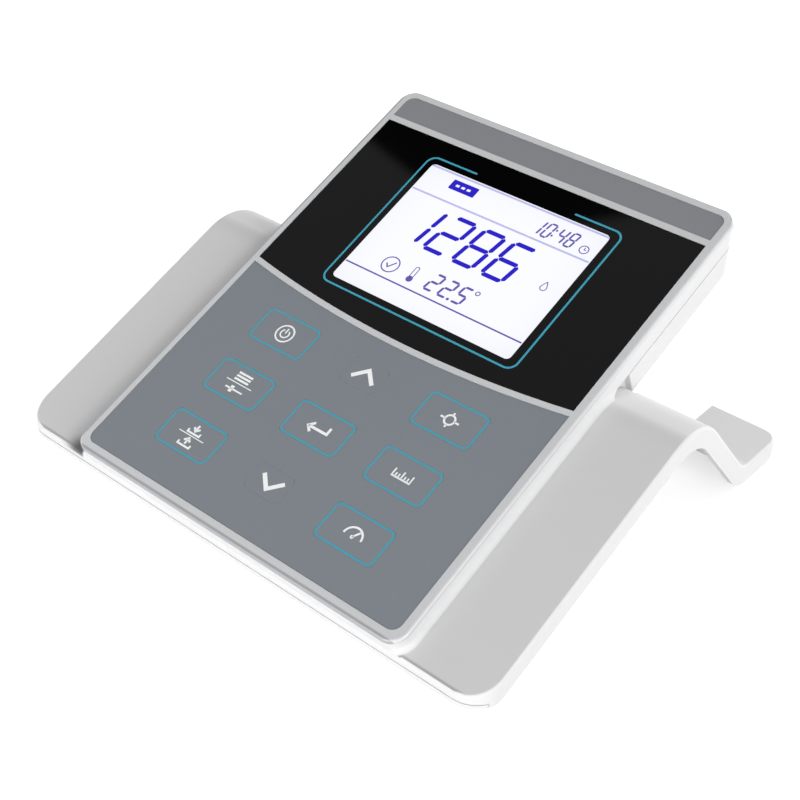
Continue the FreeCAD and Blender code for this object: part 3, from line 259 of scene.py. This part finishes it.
# Where the stand's painted shade changes. Each pair is where a ramp is 0 and where it is 1.
# The first is in how straight a surface faces out of the face, the others are in millimetres on
# the face.
PAINTED_TOP_SHADE_FACING = (0.915, 0.99)
EDGE_FROM, EDGE_TO = (-0.6, 0.0), (1.9, 0.9)
SHADED_FROM_LEFT, SHADED_TO_RIGHT = (-95, -82.6), (-79, -81)
SHADED_BELOW, SHADED_BEHIND = (-3.8, -5.4), (-0.9, -0.2)
CORNER_FROM_LEFT, CORNER_AHEAD = (-92, -84), (8, 2)


def plastic_with_painted_shade(name, top, side, edge, corner):
    """The stand's white moulding, with painted shade: light grey where it faces the user, white on
    its sides and on the back of the ridge, a painted shade line along the wings' rounded front
    edge, and painted shadow beside the console on the left, darkest where the left wing's front
    edge meets it."""
    material, tree = new_finish(name)
    facing = tree.add("ShaderNodeTexCoord")["Normal"]
    # Painted shade: surfaces that face out of the face take the grey top tone, the rest the white
    # side tone.
    on_top = tree.ramp(tree.towards(facing, OUT_OF_THE_FACE), *PAINTED_TOP_SHADE_FACING)
    across = tree.along(ACROSS_THE_FACE)
    behind = tree.along(UP_THE_FACE)
    above = tree.along(OUT_OF_THE_FACE)
    # Painted shade along the wings' rounded front edge.
    painted_edge_shade = tree.ramp(behind, *EDGE_TO) * tree.ramp(behind, *EDGE_FROM)
    # Painted shadow on the left wing beside the console.
    shaded = (tree.ramp(across, *SHADED_FROM_LEFT) * tree.ramp(across, *SHADED_TO_RIGHT)
              * tree.ramp(above, *SHADED_BELOW) * tree.ramp(behind, *SHADED_BEHIND))
    # Painted shadow, darker still, where the left wing's front edge meets the console.
    painted_corner_shadow = (tree.ramp(across, *CORNER_FROM_LEFT) * tree.ramp(behind, *CORNER_AHEAD)
                 * shaded)
    # Painted shade and shadow laid into the colour: grey on top, the edge tone along the front edge
    # and beside the console, the corner tone in the corner.
    tone = tree.mix(on_top, side, tree.mix(painted_edge_shade, top, edge))
    tone = tree.mix(painted_corner_shadow, tree.mix(shaded, tone, edge), corner)
    clouds, skin = moulded_skin(tree, roughness=0.42, grain=0.012)
    cloudy = tree.mix(clouds, (0.97, 0.97, 0.97), (1, 1, 1))
    tree.surface(base_color=tree.multiply(tone, cloudy), **skin)
    return material


# Where the silver frame's painted shade lies, along its front and left edges, in millimetres on the
# face.
FRAME_FRONT = (2.0, 1.1)
FRAME_LEFT = (-80.1, -80.7)


def silver_paint(name, tone, painted_frame_shade_tone):
    """Satin silver lacquer on plastic: fine flakes under a clear coat, and painted shade along its
    front edge and left edge."""
    material, tree = new_finish(name)
    # Painted shade on the frame's front edge and left edge.
    edge = (tree.ramp(tree.along(UP_THE_FACE), *FRAME_FRONT)
            + tree.ramp(tree.along(ACROSS_THE_FACE), *FRAME_LEFT)).clamp()
    flakes = tree.cells(5200)["Color"]
    sparkle = tree.add("ShaderNodeSeparateColor", None, {0: flakes})[0]
    clouds = tree.noise(60, 2)
    flaked = tree.mix(sparkle * 0.7 + clouds * 0.3, shade(tone, 0.9), shade(tone, 1.04))
    tree.surface(
        base_color=tree.mix(edge, flaked, painted_frame_shade_tone),
        roughness=0.36 + sparkle * 0.1,
        metallic=0.22,
        normal=tree.bump(sparkle, 0.003 * MM, 0.5),
        coat_weight=0.15,
        coat_roughness=0.25,
    )
    return material


def printed_foil(name, tone):
    """Polyester foil, printed on its back: a fine matt emboss with a faint print grain."""
    material, tree = new_finish(name)
    emboss = tree.noise(2600, 3)
    print_grain = tree.noise(900, 4)
    clouds = tree.noise(18, 2)
    uneven = print_grain * 0.6 + clouds * 0.4
    tree.surface(
        base_color=tree.mix(uneven, shade(tone, 0.94), shade(tone, 1.05)),
        roughness=0.4 + emboss * 0.16,
        normal=tree.bump(emboss, 0.006 * MM, 0.6),
        specular_ior_level=0.4,
    )
    return material


def smoked_window(name, tone, hazy_tone):
    """Polished black panel with the finest wiping marks."""
    material, tree = new_finish(name)
    wipes = tree.noise(1, 3, tree.stretched((4000, 160, 160), turn=(0, 0, 0.6)))
    haze = tree.noise(30, 2)
    tree.surface(
        base_color=tree.mix(haze, tone, hazy_tone),
        roughness=0.02 + (wipes ** 3) * 0.08 + haze * 0.01,
        ior=1.46,
    )
    return material


def lit_display(name, tone, dim_tone):
    """The display with its light on: even cool white, a little dimmer towards its edge."""
    material, tree = new_finish(name)
    left, bottom, right, top = (edge * MM for edge in WINDOW)
    spot = tree.add("ShaderNodeSeparateXYZ", None, {0: tree.place()})
    across = abs(spot["X"]) * (2 / (right - left))
    along = abs(spot["Y"] - (bottom + top) / 2) * (2 / (top - bottom))
    edge = (across ** 6 + along ** 6) * 0.5
    grain = tree.noise(4200, 1)
    dim = (edge * 0.7 + grain * 0.12).clamp()
    tree.surface(
        base_color=(0.12, 0.12, 0.13),
        roughness=0.16,
        emission_color=tree.mix(dim, tone, dim_tone),
        emission_strength=0.9,
        specular_ior_level=0.35,
    )
    return material


def ink(name, tone, uneven=0.1, roughness=0.45, glow=0.0):
    """Printed ink, slightly uneven in its cover. The display's light makes its inks glow a
    little."""
    material, tree = new_finish(name)
    cover = tree.noise(1500, 3)
    tinted = tree.mix(cover, shade(tone, 1 - uneven), shade(tone, 1 + uneven * 0.4))
    tree.surface(
        base_color=tinted,
        roughness=roughness + cover * 0.1,
        normal=tree.bump(cover, 0.003 * MM, 0.4),
        emission_color=tinted,
        emission_strength=glow,
    )
    return material


def bare_metal(name, tone, roughness, brushed=0.0):
    """Plated or brushed metal with fine wear."""
    material, tree = new_finish(name)
    brush = tree.noise(1, 2, tree.stretched((300, 9000, 9000)))
    stain = tree.noise(140, 4)
    tree.surface(
        base_color=tree.mix(stain, shade(tone, 0.82), tone),
        metallic=1.0,
        roughness=roughness + stain * 0.12 + brush * brushed,
        normal=tree.bump(brush, 0.004 * MM, 0.15 + brushed),
    )
    return material


def sanded_plastic(name, tone, roughness, grain=0.02):
    """Plastic or rubber with a sanded skin and a little dust."""
    material, tree = new_finish(name)
    skin = tree.noise(1500, 4)
    dust = tree.noise(90, 3)
    tree.surface(
        base_color=tree.mix(dust * 0.5, tone, shade(tone, 1.6)),
        roughness=roughness + skin * 0.15,
        normal=tree.bump(skin, grain * MM, 0.6),
        specular_ior_level=0.4,
    )
    return material


def circuit_board(name, mask_tone, track_tone, pad_tone):
    """Green solder mask with pads and tracks that show through it. A track's half width and a
    pad's radius are shares of their cells."""
    track, pad = 0.05, 0.22
    material, tree = new_finish(name)
    tracks = (track - tree.cells(300, "DISTANCE_TO_EDGE")["Distance"]) > 0
    pads = (pad - tree.cells(420)["Distance"]) > 0
    mask = tree.mix(tracks * 0.6, mask_tone, track_tone)
    tree.surface(
        base_color=tree.mix(pads * 0.8, mask, pad_tone),
        roughness=0.35 + tree.noise(700) * 0.1,
        metallic=pads * 0.7,
    )
    return material


def frosted_guide(name, tone, dot_tone):
    """The display's light guide, with the dots that let its light out."""
    material, tree = new_finish(name)
    dots = tree.cells(900)["Distance"]
    tree.surface(
        base_color=tree.mix(dots, tone, dot_tone),
        roughness=0.5 + dots * 0.2,
    )
    return material


# The finish of each of the record's material slots.
STAND_WHITE = (0.79, 0.79, 0.795)
KEYPAD_GREY = colour(127, 133, 139)
RECIPES = {
    # The stand's top tone is painted shade, its edge tone the painted shade of the front edge and
    # the painted shadow on the left, its corner tone the darkest painted shadow; side is the
    # plastic's own white.
    "white_plastic": (plastic_with_painted_shade, dict(
        top=(0.625, 0.625, 0.63), side=STAND_WHITE, edge=(0.4, 0.4, 0.405),
        corner=(0.12, 0.12, 0.125))),
    "lower_white_plastic": (moulded_plastic, dict(tone=STAND_WHITE, roughness=0.46, grain=0.02)),
    # The silver frame's own tone, and the painted shade of its front and left edges.
    "silver_frame": (silver_paint, dict(
        tone=colour(220, 221, 223), painted_frame_shade_tone=colour(170, 171, 174))),
    "grey_panel": (printed_foil, dict(tone=KEYPAD_GREY)),
    "grey_strip": (printed_foil, dict(tone=colour(134, 135, 140))),
    "grey_key": (printed_foil, dict(tone=KEYPAD_GREY)),
    "black_lens": (smoked_window, dict(
        tone=(0.0006, 0.0006, 0.0007), hazy_tone=(0.0012, 0.0012, 0.0013))),
    "display_glass": (moulded_plastic, dict(
        tone=(0.5, 0.52, 0.51), roughness=0.2, grain=0.002)),
    "light_guide": (frosted_guide, dict(tone=(0.8, 0.82, 0.85), dot_tone=(0.62, 0.64, 0.68))),
    "white_holder": (moulded_plastic, dict(tone=(0.6, 0.6, 0.59), roughness=0.5)),
    "board_green": (circuit_board, dict(
        mask_tone=(0.012, 0.1, 0.045), track_tone=(0.03, 0.2, 0.08), pad_tone=(0.55, 0.5, 0.42))),
    "switch_black": (sanded_plastic, dict(tone=(0.02, 0.02, 0.021), roughness=0.5)),
    "screw_steel": (bare_metal, dict(tone=(0.62, 0.61, 0.58), roughness=0.28, brushed=0.15)),
    "rear_panel_black": (sanded_plastic, dict(tone=(0.03, 0.03, 0.032), roughness=0.5)),
    "socket_nickel": (bare_metal, dict(tone=(0.72, 0.7, 0.66), roughness=0.16)),
    "socket_white": (moulded_plastic, dict(
        tone=(0.72, 0.71, 0.68), roughness=0.35, grain=0.004)),
    "socket_black": (sanded_plastic, dict(tone=(0.018, 0.018, 0.019), roughness=0.45)),
    "foot_rubber": (sanded_plastic, dict(
        tone=(0.022, 0.022, 0.022), roughness=0.75, grain=0.05)),
    "cable_grey": (sanded_plastic, dict(tone=(0.3, 0.31, 0.33), roughness=0.5)),
    "shield_tin": (bare_metal, dict(tone=(0.66, 0.66, 0.64), roughness=0.3, brushed=0.1)),
    "chip_black": (sanded_plastic, dict(tone=(0.014, 0.014, 0.015), roughness=0.45)),
}
FINISHES = {slot: recipe(slot, **values) for slot, (recipe, values) in RECIPES.items()}

CYAN = ink("cyan_line_print", colour(60, 164, 188))
WHITE = ink("white_sign_print", colour(249, 250, 251), uneven=0.06)
LIT = lit_display("lit_display", colour(251, 252, 255), colour(236, 238, 247))
DARK_BLUE = ink("display_blue", colour(34, 16, 194), uneven=0.05, roughness=0.3, glow=0.2)
FAINT_BLUE = ink("display_faint_blue", colour(92, 86, 172), uneven=0.05, roughness=0.3, glow=0.2)
PALE_BLUE = ink("display_pale_blue", colour(176, 178, 222), uneven=0.05, roughness=0.3, glow=0.3)

slot_of = {row["node"]: row["material_slot"] for row in frame["record"]["subparts"]}
for node_name, node in frame["nodes"].items():
    node.data.materials.clear()
    node.data.materials.append(FINISHES[slot_of[node_name]])


class Drawing:
    """Flat shapes on the console's face, in millimetres, all between two levels. make() turns them
    into one thin piece."""

    # The least cosine that a bend is mitred by, so that a sharp bend has no long tip.
    LEAST_MITRE = 0.3

    def __init__(self, low, high, x=0.0, y=0.0):
        self.mesh = bmesh.new()
        self.levels = (low, high)
        self.middle = Vector((x, y, 0))

    def corners(self, points):
        """Two rows of the mesh's corners, one on each level."""
        return [[self.mesh.verts.new((Vector((*point, level)) + self.middle) * MM)
                 for point in points] for level in self.levels]

    def shape(self, points):
        """A filled outline."""
        under, over = self.corners(points)
        self.mesh.faces.new(over)
        self.mesh.faces.new(reversed(under))
        for at in range(len(points)):
            self.mesh.faces.new((under[at - 1], under[at], over[at], over[at - 1]))

    def band(self, points, width, closed=False):
        """A line of even width along the points, mitred at its bends."""
        left, right = [], []
        count = len(points)
        for at, point in enumerate(points):
            here = Vector(point)
            runs = []
            if closed or at > 0:
                runs.append((here - Vector(points[at - 1])).normalized())
            if closed or at < count - 1:
                runs.append((Vector(points[(at + 1) % count]) - here).normalized())
            along = sum(runs, Vector((0, 0))).normalized()
            side = Vector((-along.y, along.x))
            straight = Vector((-runs[0].y, runs[0].x))
            reach = width / 2 / max(side.dot(straight), self.LEAST_MITRE)
            left.append(here + side * reach)
            right.append(here - side * reach)
        left_low, left_high = self.corners(left)
        right_low, right_high = self.corners(right)
        for at in range(0 if closed else 1, count):
            back = at - 1
            self.mesh.faces.new((left_high[back], left_high[at], right_high[at], right_high[back]))
            self.mesh.faces.new((left_low[back], right_low[back], right_low[at], left_low[at]))
            self.mesh.faces.new((left_low[back], left_low[at], left_high[at], left_high[back]))
            self.mesh.faces.new((right_low[back], right_high[back], right_high[at], right_low[at]))
        if not closed:
            for at in (0, count - 1):
                self.mesh.faces.new((left_low[at], left_high[at], right_high[at], right_low[at]))

    def make(self, name, finish, body, slot=None):
        """Puts the drawing on the face, as a piece that rides on a body."""
        bmesh.ops.recalc_face_normals(self.mesh, faces=self.mesh.faces)
        mesh = bpy.data.meshes.new(name)
        self.mesh.to_mesh(mesh)
        self.mesh.free()
        piece = bpy.data.objects.new(name, mesh)
        bpy.context.scene.collection.objects.link(piece)
        piece.matrix_world = FACE
        mesh.materials.append(finish)
        bpy.context.view_layer.update()
        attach(piece, body)


def arc(centre, radius, start, end, steps=8):
    """Points on part of a circle, with its angles in degrees."""
    angles = (math.radians(start + (end - start) * at / steps) for at in range(steps + 1))
    return [(centre[0] + radius * math.cos(angle), centre[1] + radius * math.sin(angle))
            for angle in angles]


def circle(centre, radius, steps=32):
    return arc(centre, radius, 0, 360, steps)[:-1]


def rounded(x0, y0, x1, y1, radius, steps=6):
    """A rectangle's outline with round corners, from its lower right corner round to the left."""
    return (arc((x1 - radius, y0 + radius), radius, -90, 0, steps)
            + arc((x1 - radius, y1 - radius), radius, 0, 90, steps)
            + arc((x0 + radius, y1 - radius), radius, 90, 180, steps)
            + arc((x0 + radius, y0 + radius), radius, 180, 270, steps))


picture = Drawing(PANEL_TOP, PICTURE_TOP)
picture.shape(rounded(*WINDOW, WINDOW_CORNER))
picture.make("display_picture", LIT, "housing", "display_glass")

# The line round the display is open at the top, between its two ends.
DISPLAY_LINE = (-47.3, 110.25, 48.0, 183.7)
DISPLAY_LINE_CORNER = 4.0
DISPLAY_LINE_WIDTH = 0.85
DISPLAY_LINE_ENDS = (-23.6, 24.8)

bends = rounded(*DISPLAY_LINE, DISPLAY_LINE_CORNER, steps=8)
right_bends, left_bends = bends[:len(bends) // 2], bends[len(bends) // 2:]
left_end, right_end = ((end, DISPLAY_LINE[3]) for end in DISPLAY_LINE_ENDS)
display_line = Drawing(PANEL_TOP, PANEL_TOP + INK)
display_line.band([left_end, *left_bends, *right_bends, right_end], DISPLAY_LINE_WIDTH)
display_line.make("display_frame_line", CYAN, "housing")

# The seven segments' letters go clockwise from the top, with g in the middle. An end is 0 or 1
# across, and 0, 1 or 2 up.
SEGMENTS = {
    "0": "abcdef", "1": "bc", "2": "abged", "4": "fgbc", "5": "afgcd", "6": "afgedc",
    "8": "abcdefg",
}
SEGMENT_ENDS = {
    "a": ((0, 2), (1, 2)), "b": ((1, 2), (1, 1)), "c": ((1, 1), (1, 0)), "d": ((0, 0), (1, 0)),
    "e": ((0, 1), (0, 0)), "f": ((0, 2), (0, 1)), "g": ((0, 1), (1, 1)),
}
SLANT = math.tan(math.radians(9.5))

# Parts of a stroke's width: the space that a segment leaves at its end, and its point's length.
SEGMENT_SPACE = 0.12
SEGMENT_POINT = 0.4


def display_drawing():
    """A drawing in ink on the display's picture."""
    return Drawing(PICTURE_TOP, PICTURE_TOP + INK)


def digit(drawing, figure, x, y, width, height, stroke):
    """One seven-segment figure. x and y are its lower left corner before it leans."""
    for segment in SEGMENTS[figure]:
        first, last = (Vector((across * (width - stroke) + stroke / 2,
                               up * (height - stroke) / 2 + stroke / 2))
                       for across, up in SEGMENT_ENDS[segment])
        run = (last - first).normalized()
        side = Vector((-run.y, run.x)) * stroke / 2
        first = first + run * stroke * SEGMENT_SPACE
        last = last - run * stroke * SEGMENT_SPACE
        tip = run * stroke * SEGMENT_POINT
        outline = [first, first + tip + side, last - tip + side, last, last - tip - side,
                   first + tip - side]
        drawing.shape([(x + at.x + at.y * SLANT, y + at.y) for at in outline])


def figures(drawing, text, x, y, width, height, stroke, pitch):
    """A row of figures. A point takes no place of its own, and two dots take a third of one."""
    for sign in text:
        if sign == ".":
            dot_x = x - (pitch - width) / 2
            drawing.shape(rounded(dot_x - stroke * 0.6, y, dot_x + stroke * 0.6,
                                  y + stroke * 1.1, stroke * 0.3, 2))
        elif sign == ":":
            for up in (0.3, 0.68):
                lean = height * up * SLANT
                drawing.shape(circle((x + lean - 0.2, y + height * up), stroke * 0.6, 10))
            x += pitch * 0.32
        else:
            digit(drawing, sign, x, y, width, height, stroke)
            x += pitch


RULE_END = 43.6


def rule(drawing, y, width):
    """A straight line across the whole display."""
    drawing.band([(-RULE_END, y), (RULE_END, y)], width)


reading = display_drawing()
figures(reading, "1286", x=-35.2, y=141.4, width=11.7, height=20.5, stroke=2.0, pitch=14.5)
reading.make("display_reading", DARK_BLUE, "housing")

small = display_drawing()
figures(small, "10:48", x=13.4, y=168.0, width=3.7, height=8.0, stroke=0.85, pitch=4.7)
figures(small, "22.5", x=-7.0, y=125.2, width=5.0, height=9.2, stroke=1.05, pitch=6.8)
small.make("display_small_figures", FAINT_BLUE, "housing")

pale_lines = display_drawing()
rule(pale_lines, 179.6, 0.9)
rule(pale_lines, 165.8, 0.9)
pale_lines.make("display_pale_lines", PALE_BLUE, "housing")

signs = display_drawing()
rule(signs, 122.3, 0.7)
# A check mark in a ring.
signs.band(circle((-25.6, 129.0), 3.8), 0.55, closed=True)
signs.band([(-27.5, 129.1), (-26.1, 127.4), (-23.7, 130.8)], 0.6)
# A thermometer, its bulb and then its stem, and the ring that stands for degrees.
signs.shape(circle((-14.2, 126.7), 1.5, 20))
signs.band(arc((-14.2, 132.2), 0.85, 0, 180) + [(-15.05, 127.9), (-13.35, 127.9)], 0.4,
           closed=True)
signs.band(circle((14.8, 133.4), 0.9, 14), 0.45, closed=True)
# A clock with its hands.
signs.band(circle((38.4, 170.2), 1.9, 20), 0.45, closed=True)
signs.band([(38.4, 171.4), (38.4, 170.2), (39.4, 170.2)], 0.4)
signs.make("display_signs", FAINT_BLUE, "housing")

tag = display_drawing()
tag.shape(rounded(-30.2, 172.2, -17.4, 177.3, 0.5, 3))
tag.make("display_tag", DARK_BLUE, "housing")

TAG_BAR_LENGTH = 1.7
TAG_MIDDLE = 174.75
tag_bars = Drawing(PICTURE_TOP + INK, PICTURE_TOP + 2 * INK)
for x in (-27.7, -24.9, -22.1):
    tag_bars.band([(x, TAG_MIDDLE), (x + TAG_BAR_LENGTH, TAG_MIDDLE)], 1.1)
tag_bars.make("display_tag_bars", LIT, "housing", "display_glass")

drop = display_drawing()
drop.band(arc((35.4, 147.6), 1.35, 150, 390, 12)[:-1]
          + [(36.0, 149.6), (35.4, 150.6), (34.8, 149.6)], 0.4, closed=True)
drop.make("display_drop", FAINT_BLUE, "housing")


def draw_power(sign):
    """A ring with the usual switch sign in it."""
    sign.band(circle((0, 0), 3.9), 0.7, closed=True)
    sign.band(arc((0, 0), 1.9, 125, 415, 16), 0.6)
    sign.band([(0, 0.2), (0, 2.6)], 0.6)


def draw_mode(sign):
    """A list over a slider."""
    sign.band([(-6.5, 0), (6.5, 0)], 0.4)
    for up in (1.5, 3.0, 4.5):
        sign.band([(-3.6, up), (3.6, up)], 0.9)
    sign.band([(-4.4, -3.1), (4.4, -3.1)], 0.7)
    sign.band([(-1.3, -4.6), (-1.3, -1.6)], 1.6)


def draw_memory(sign):
    """An arrow into a tray over an arrow out of one."""
    sign.band([(-6.5, 0), (6.5, 0)], 0.4)
    sign.band([(-3.0, 2.4), (-3.0, 1.1), (3.0, 1.1), (3.0, 2.4)], 0.8)
    sign.band([(0, 5.2), (0, 2.6)], 0.9)
    sign.band([(-1.5, 3.8), (0, 2.3), (1.5, 3.8)], 0.9)
    sign.band([(-3.0, -3.5), (-3.0, -4.8), (3.0, -4.8), (3.0, -3.5)], 0.8)
    sign.band([(0, -3.9), (0, -1.5)], 0.9)
    sign.band([(-1.5, -2.6), (0, -1.1), (1.5, -2.6)], 0.9)


def draw_enter(sign):
    """An arrow down and to the left."""
    sign.band([(4.9, 2.4), (4.9, -0.6), (-4.2, -0.6)], 1.1)
    sign.band([(-2.0, 1.5), (-4.2, -0.6), (-2.0, -2.7)], 1.1)


def draw_calibrate(sign):
    """A ring with a mark on each side."""
    sign.band(circle((0, 0), 2.1), 0.8, closed=True)
    sign.band([(-4.2, 0), (-2.1, 0)], 0.8)
    sign.band([(2.1, 0), (4.2, 0)], 0.8)
    sign.band([(0, 2.1), (0, 3.4)], 0.8)
    sign.band([(0, -3.4), (0, -2.1)], 0.8)


def draw_unit(sign):
    """A short scale, with every third line a tall one."""
    sign.band([(-4.4, -1.6), (4.4, -1.6)], 0.7)
    for at in range(7):
        x = -4.05 + 1.35 * at
        tall = 3.2 if at % 3 == 0 else 1.8
        sign.band([(x, -1.6), (x, -1.6 + tall)], 0.6)


def draw_measure(sign):
    """A gauge with its needle."""
    sign.band(arc((0, -1.4), 3.9, 0, 180, 16), 0.8)
    sign.band([(0, -1.4), (1.9, 1.4)], 0.8)
    sign.band(circle((0, -1.4), 0.35, 12), 0.8, closed=True)


def draw_up(sign):
    sign.band([(-4.6, -2.4), (0.5, 2.6), (5.6, -2.4)], 1.7)


def draw_down(sign):
    sign.band([(-4.6, 2.4), (0.5, -2.6), (5.6, 2.4)], 1.7)


SIGNS = {
    "key_power": draw_power, "key_mode": draw_mode, "key_memory": draw_memory,
    "key_enter": draw_enter, "key_calibrate": draw_calibrate, "key_unit": draw_unit,
    "key_measure": draw_measure, "key_up": draw_up, "key_down": draw_down,
}
KEY_LINE = (-13.05, -7.55, 13.05, 7.55)
KEY_LINE_CORNER = 2.2
KEY_LINE_WIDTH = 0.75

for key, (body, x, y) in KEYS.items():
    sign_print = Drawing(PANEL_TOP, PANEL_TOP + INK, x, y)
    SIGNS[key](sign_print)
    sign_print.make(key + "_sign", WHITE, body)
    if key not in CHEVRON_KEYS:
        key_line = Drawing(PANEL_TOP, PANEL_TOP + INK, x, y)
        key_line.band(rounded(*KEY_LINE, KEY_LINE_CORNER), KEY_LINE_WIDTH, closed=True)
        key_line.make(key + "_line", CYAN, body)

# The seals stand in the gaps round the keys, a little under the panel's top. They are fixed to
# the panel and leave SEAL_PLAY between themselves and the key.
KEY_HALF_SIZE = (13.5, 8.0)
CHEVRON_KEY_HALF_SIZE = (8.5, 6.0)
KEY_CORNER = 1.4
KEY_GAP = 0.15
SEAL_PLAY = 0.02
SEAL_TOP = PANEL_TOP - 0.01
SEAL_FOOT = PANEL_TOP - 0.5


def key_outline(half_width, half_length):
    """A key's outline with its corners taken off."""
    near_x, near_y = half_width - KEY_CORNER, half_length - KEY_CORNER
    return [(half_width, -near_y), (half_width, near_y), (near_x, half_length),
            (-near_x, half_length), (-half_width, near_y), (-half_width, -near_y),
            (-near_x, -half_length), (near_x, -half_length)]


seals = Drawing(SEAL_FOOT, SEAL_TOP)
for key, (body, x, y) in KEYS.items():
    half_size = CHEVRON_KEY_HALF_SIZE if key in CHEVRON_KEYS else KEY_HALF_SIZE
    seals.middle = Vector((x, y, 0))
    outline = key_outline(*(half + (KEY_GAP + SEAL_PLAY) / 2 for half in half_size))
    seals.band(outline, KEY_GAP - SEAL_PLAY, closed=True)
seals.make("key_seals", FINISHES["grey_panel"], "housing", "grey_panel")

# The floor's own light, FLOOR_LIFT, shows to the camera and in mirrors and doesn't light the meter.
FLOOR_RADIUS = 3.0
FLOOR_TONES = ((0.78, 0.78, 0.78), (0.8, 0.8, 0.8))
FLOOR_LIFT = 0.6


def make_floor():
    """A pale floor, white to the camera where no shadow lies on it."""
    mesh = bmesh.new()
    bmesh.ops.create_circle(mesh, cap_ends=True, segments=96, radius=FLOOR_RADIUS)
    made = bpy.data.meshes.new("studio_floor")
    mesh.to_mesh(made)
    mesh.free()
    floor = bpy.data.objects.new("studio_floor", made)
    bpy.context.scene.collection.objects.link(floor)
    material, tree = new_finish("studio_floor")
    grain = tree.noise(40, 3)
    matt = tree.add("ShaderNodeBsdfDiffuse", None, {
        "Color": tree.mix(grain, *FLOOR_TONES)})["BSDF"]
    ray = tree.add("ShaderNodeLightPath")
    seen = (ray["Is Camera Ray"] + ray["Is Glossy Ray"] + ray["Is Transmission Ray"]).clamp()
    lift = tree.add("ShaderNodeEmission", None, {
        "Color": (1, 1, 1), "Strength": seen * FLOOR_LIFT})["Emission"]
    both = tree.add("ShaderNodeAddShader", None, {0: matt, 1: lift})[0]
    tree.add("ShaderNodeOutputMaterial", None, {"Surface": both})
    made.materials.append(material)


# The studio's brightness from the horizon, at 0, to straight overhead, at 1, and how much more
# there is on the right and less on the left. The flag starts at FLAG_HEIGHT and lies between two
# planes, each given by the direction across it. FLAG_DEPTH is the share of the light it takes.
SKY_LEVELS = [(0.0, 0.95), (0.25, 0.92), (0.7, 0.38), (1.0, 0.34)]
SKY_LEAN = 0.34
FLAG_HEIGHT = (0.66, 0.7)
FLAG_EDGES = ((0.2226, 0.9747, -0.0204), (-0.4662, 0.7865, -0.4051))
FLAG_EDGE_BLUR = (-0.003, 0.005)
FLAG_DEPTH = 0.95


def make_world():
    """A white studio: bright all round and more so on the right, darker overhead. A black flag
    hangs up on the left, and its corner is what the display's black panel mirrors."""
    world = bpy.data.worlds.new("white_studio")
    bpy.context.scene.world = world
    tree = Tree(world)
    direction = tree.add("ShaderNodeTexCoord")["Generated"]
    parts = tree.add("ShaderNodeSeparateXYZ", None, {0: direction})
    level = tree.add("ShaderNodeValToRGB", {"stops": SKY_LEVELS}, {0: parts["Z"]})["Color"]
    flag = tree.ramp(parts["Z"], *FLAG_HEIGHT)
    for edge in FLAG_EDGES:
        flag = flag * tree.ramp(tree.towards(direction, edge), *FLAG_EDGE_BLUR)
    lit = (1 + parts["X"] * SKY_LEAN) * (1 - flag * FLAG_DEPTH)
    ray = tree.add("ShaderNodeLightPath")["Is Camera Ray"]
    strength = tree.add("ShaderNodeMix", {"data_type": "FLOAT"}, {0: ray, 2: lit, 3: 1.0})[0]
    light = tree.add("ShaderNodeBackground", None, {
        "Color": tree.mix(ray, level, (1, 1, 1)), "Strength": strength})["Background"]
    tree.add("ShaderNodeOutputWorld", None, {"Surface": light})


# Each lamp's place, the width of its disk and its power. All look at the meter's middle.
LAMPS = {
    "lamp_right": ((1.7, -0.4, 0.42), 1.0, 8),
    "lamp_front": ((-0.2, -1.8, 0.42), 1.0, 18),
    "lamp_left": ((-1.7, 0.2, 0.42), 1.0, 2),
    "lamp_back": ((0.3, 1.68, 0.95), 1.2, 19),
}
METER_MIDDLE = Vector((0, 0, 0.04))


def make_lamp(name, place, size, power):
    data = bpy.data.lights.new(name, "AREA")
    data.shape = "DISK"
    data.size = size
    data.energy = power
    lamp = bpy.data.objects.new(name, data)
    bpy.context.scene.collection.objects.link(lamp)
    lamp.location = place
    lamp.rotation_euler = (Vector(place) - METER_MIDDLE).to_track_quat("Z", "Y").to_euler()


# The camera stands where the photograph was taken from.
CAMERA_LENS = 67.74
SENSOR_WIDTH = 36
CAMERA_PLACE = Matrix((
    (0.75703, -0.39861, 0.51771, 0.3044),
    (0.65283, 0.42883, -0.62442, -0.3724),
    (0.02689, 0.81069, 0.58487, 0.3656),
    (0, 0, 0, 1),
))


def make_camera():
    data = bpy.data.cameras.new("photo_camera")
    data.lens = CAMERA_LENS
    data.sensor_width = SENSOR_WIDTH
    camera = bpy.data.objects.new("photo_camera", data)
    bpy.context.scene.collection.objects.link(camera)
    camera.matrix_world = CAMERA_PLACE
    bpy.context.scene.camera = camera


make_floor()
make_world()
for lamp_name, (place, size, power) in LAMPS.items():
    make_lamp(lamp_name, place, size, power)
make_camera()
bpy.context.scene.view_settings.view_transform = "Standard"
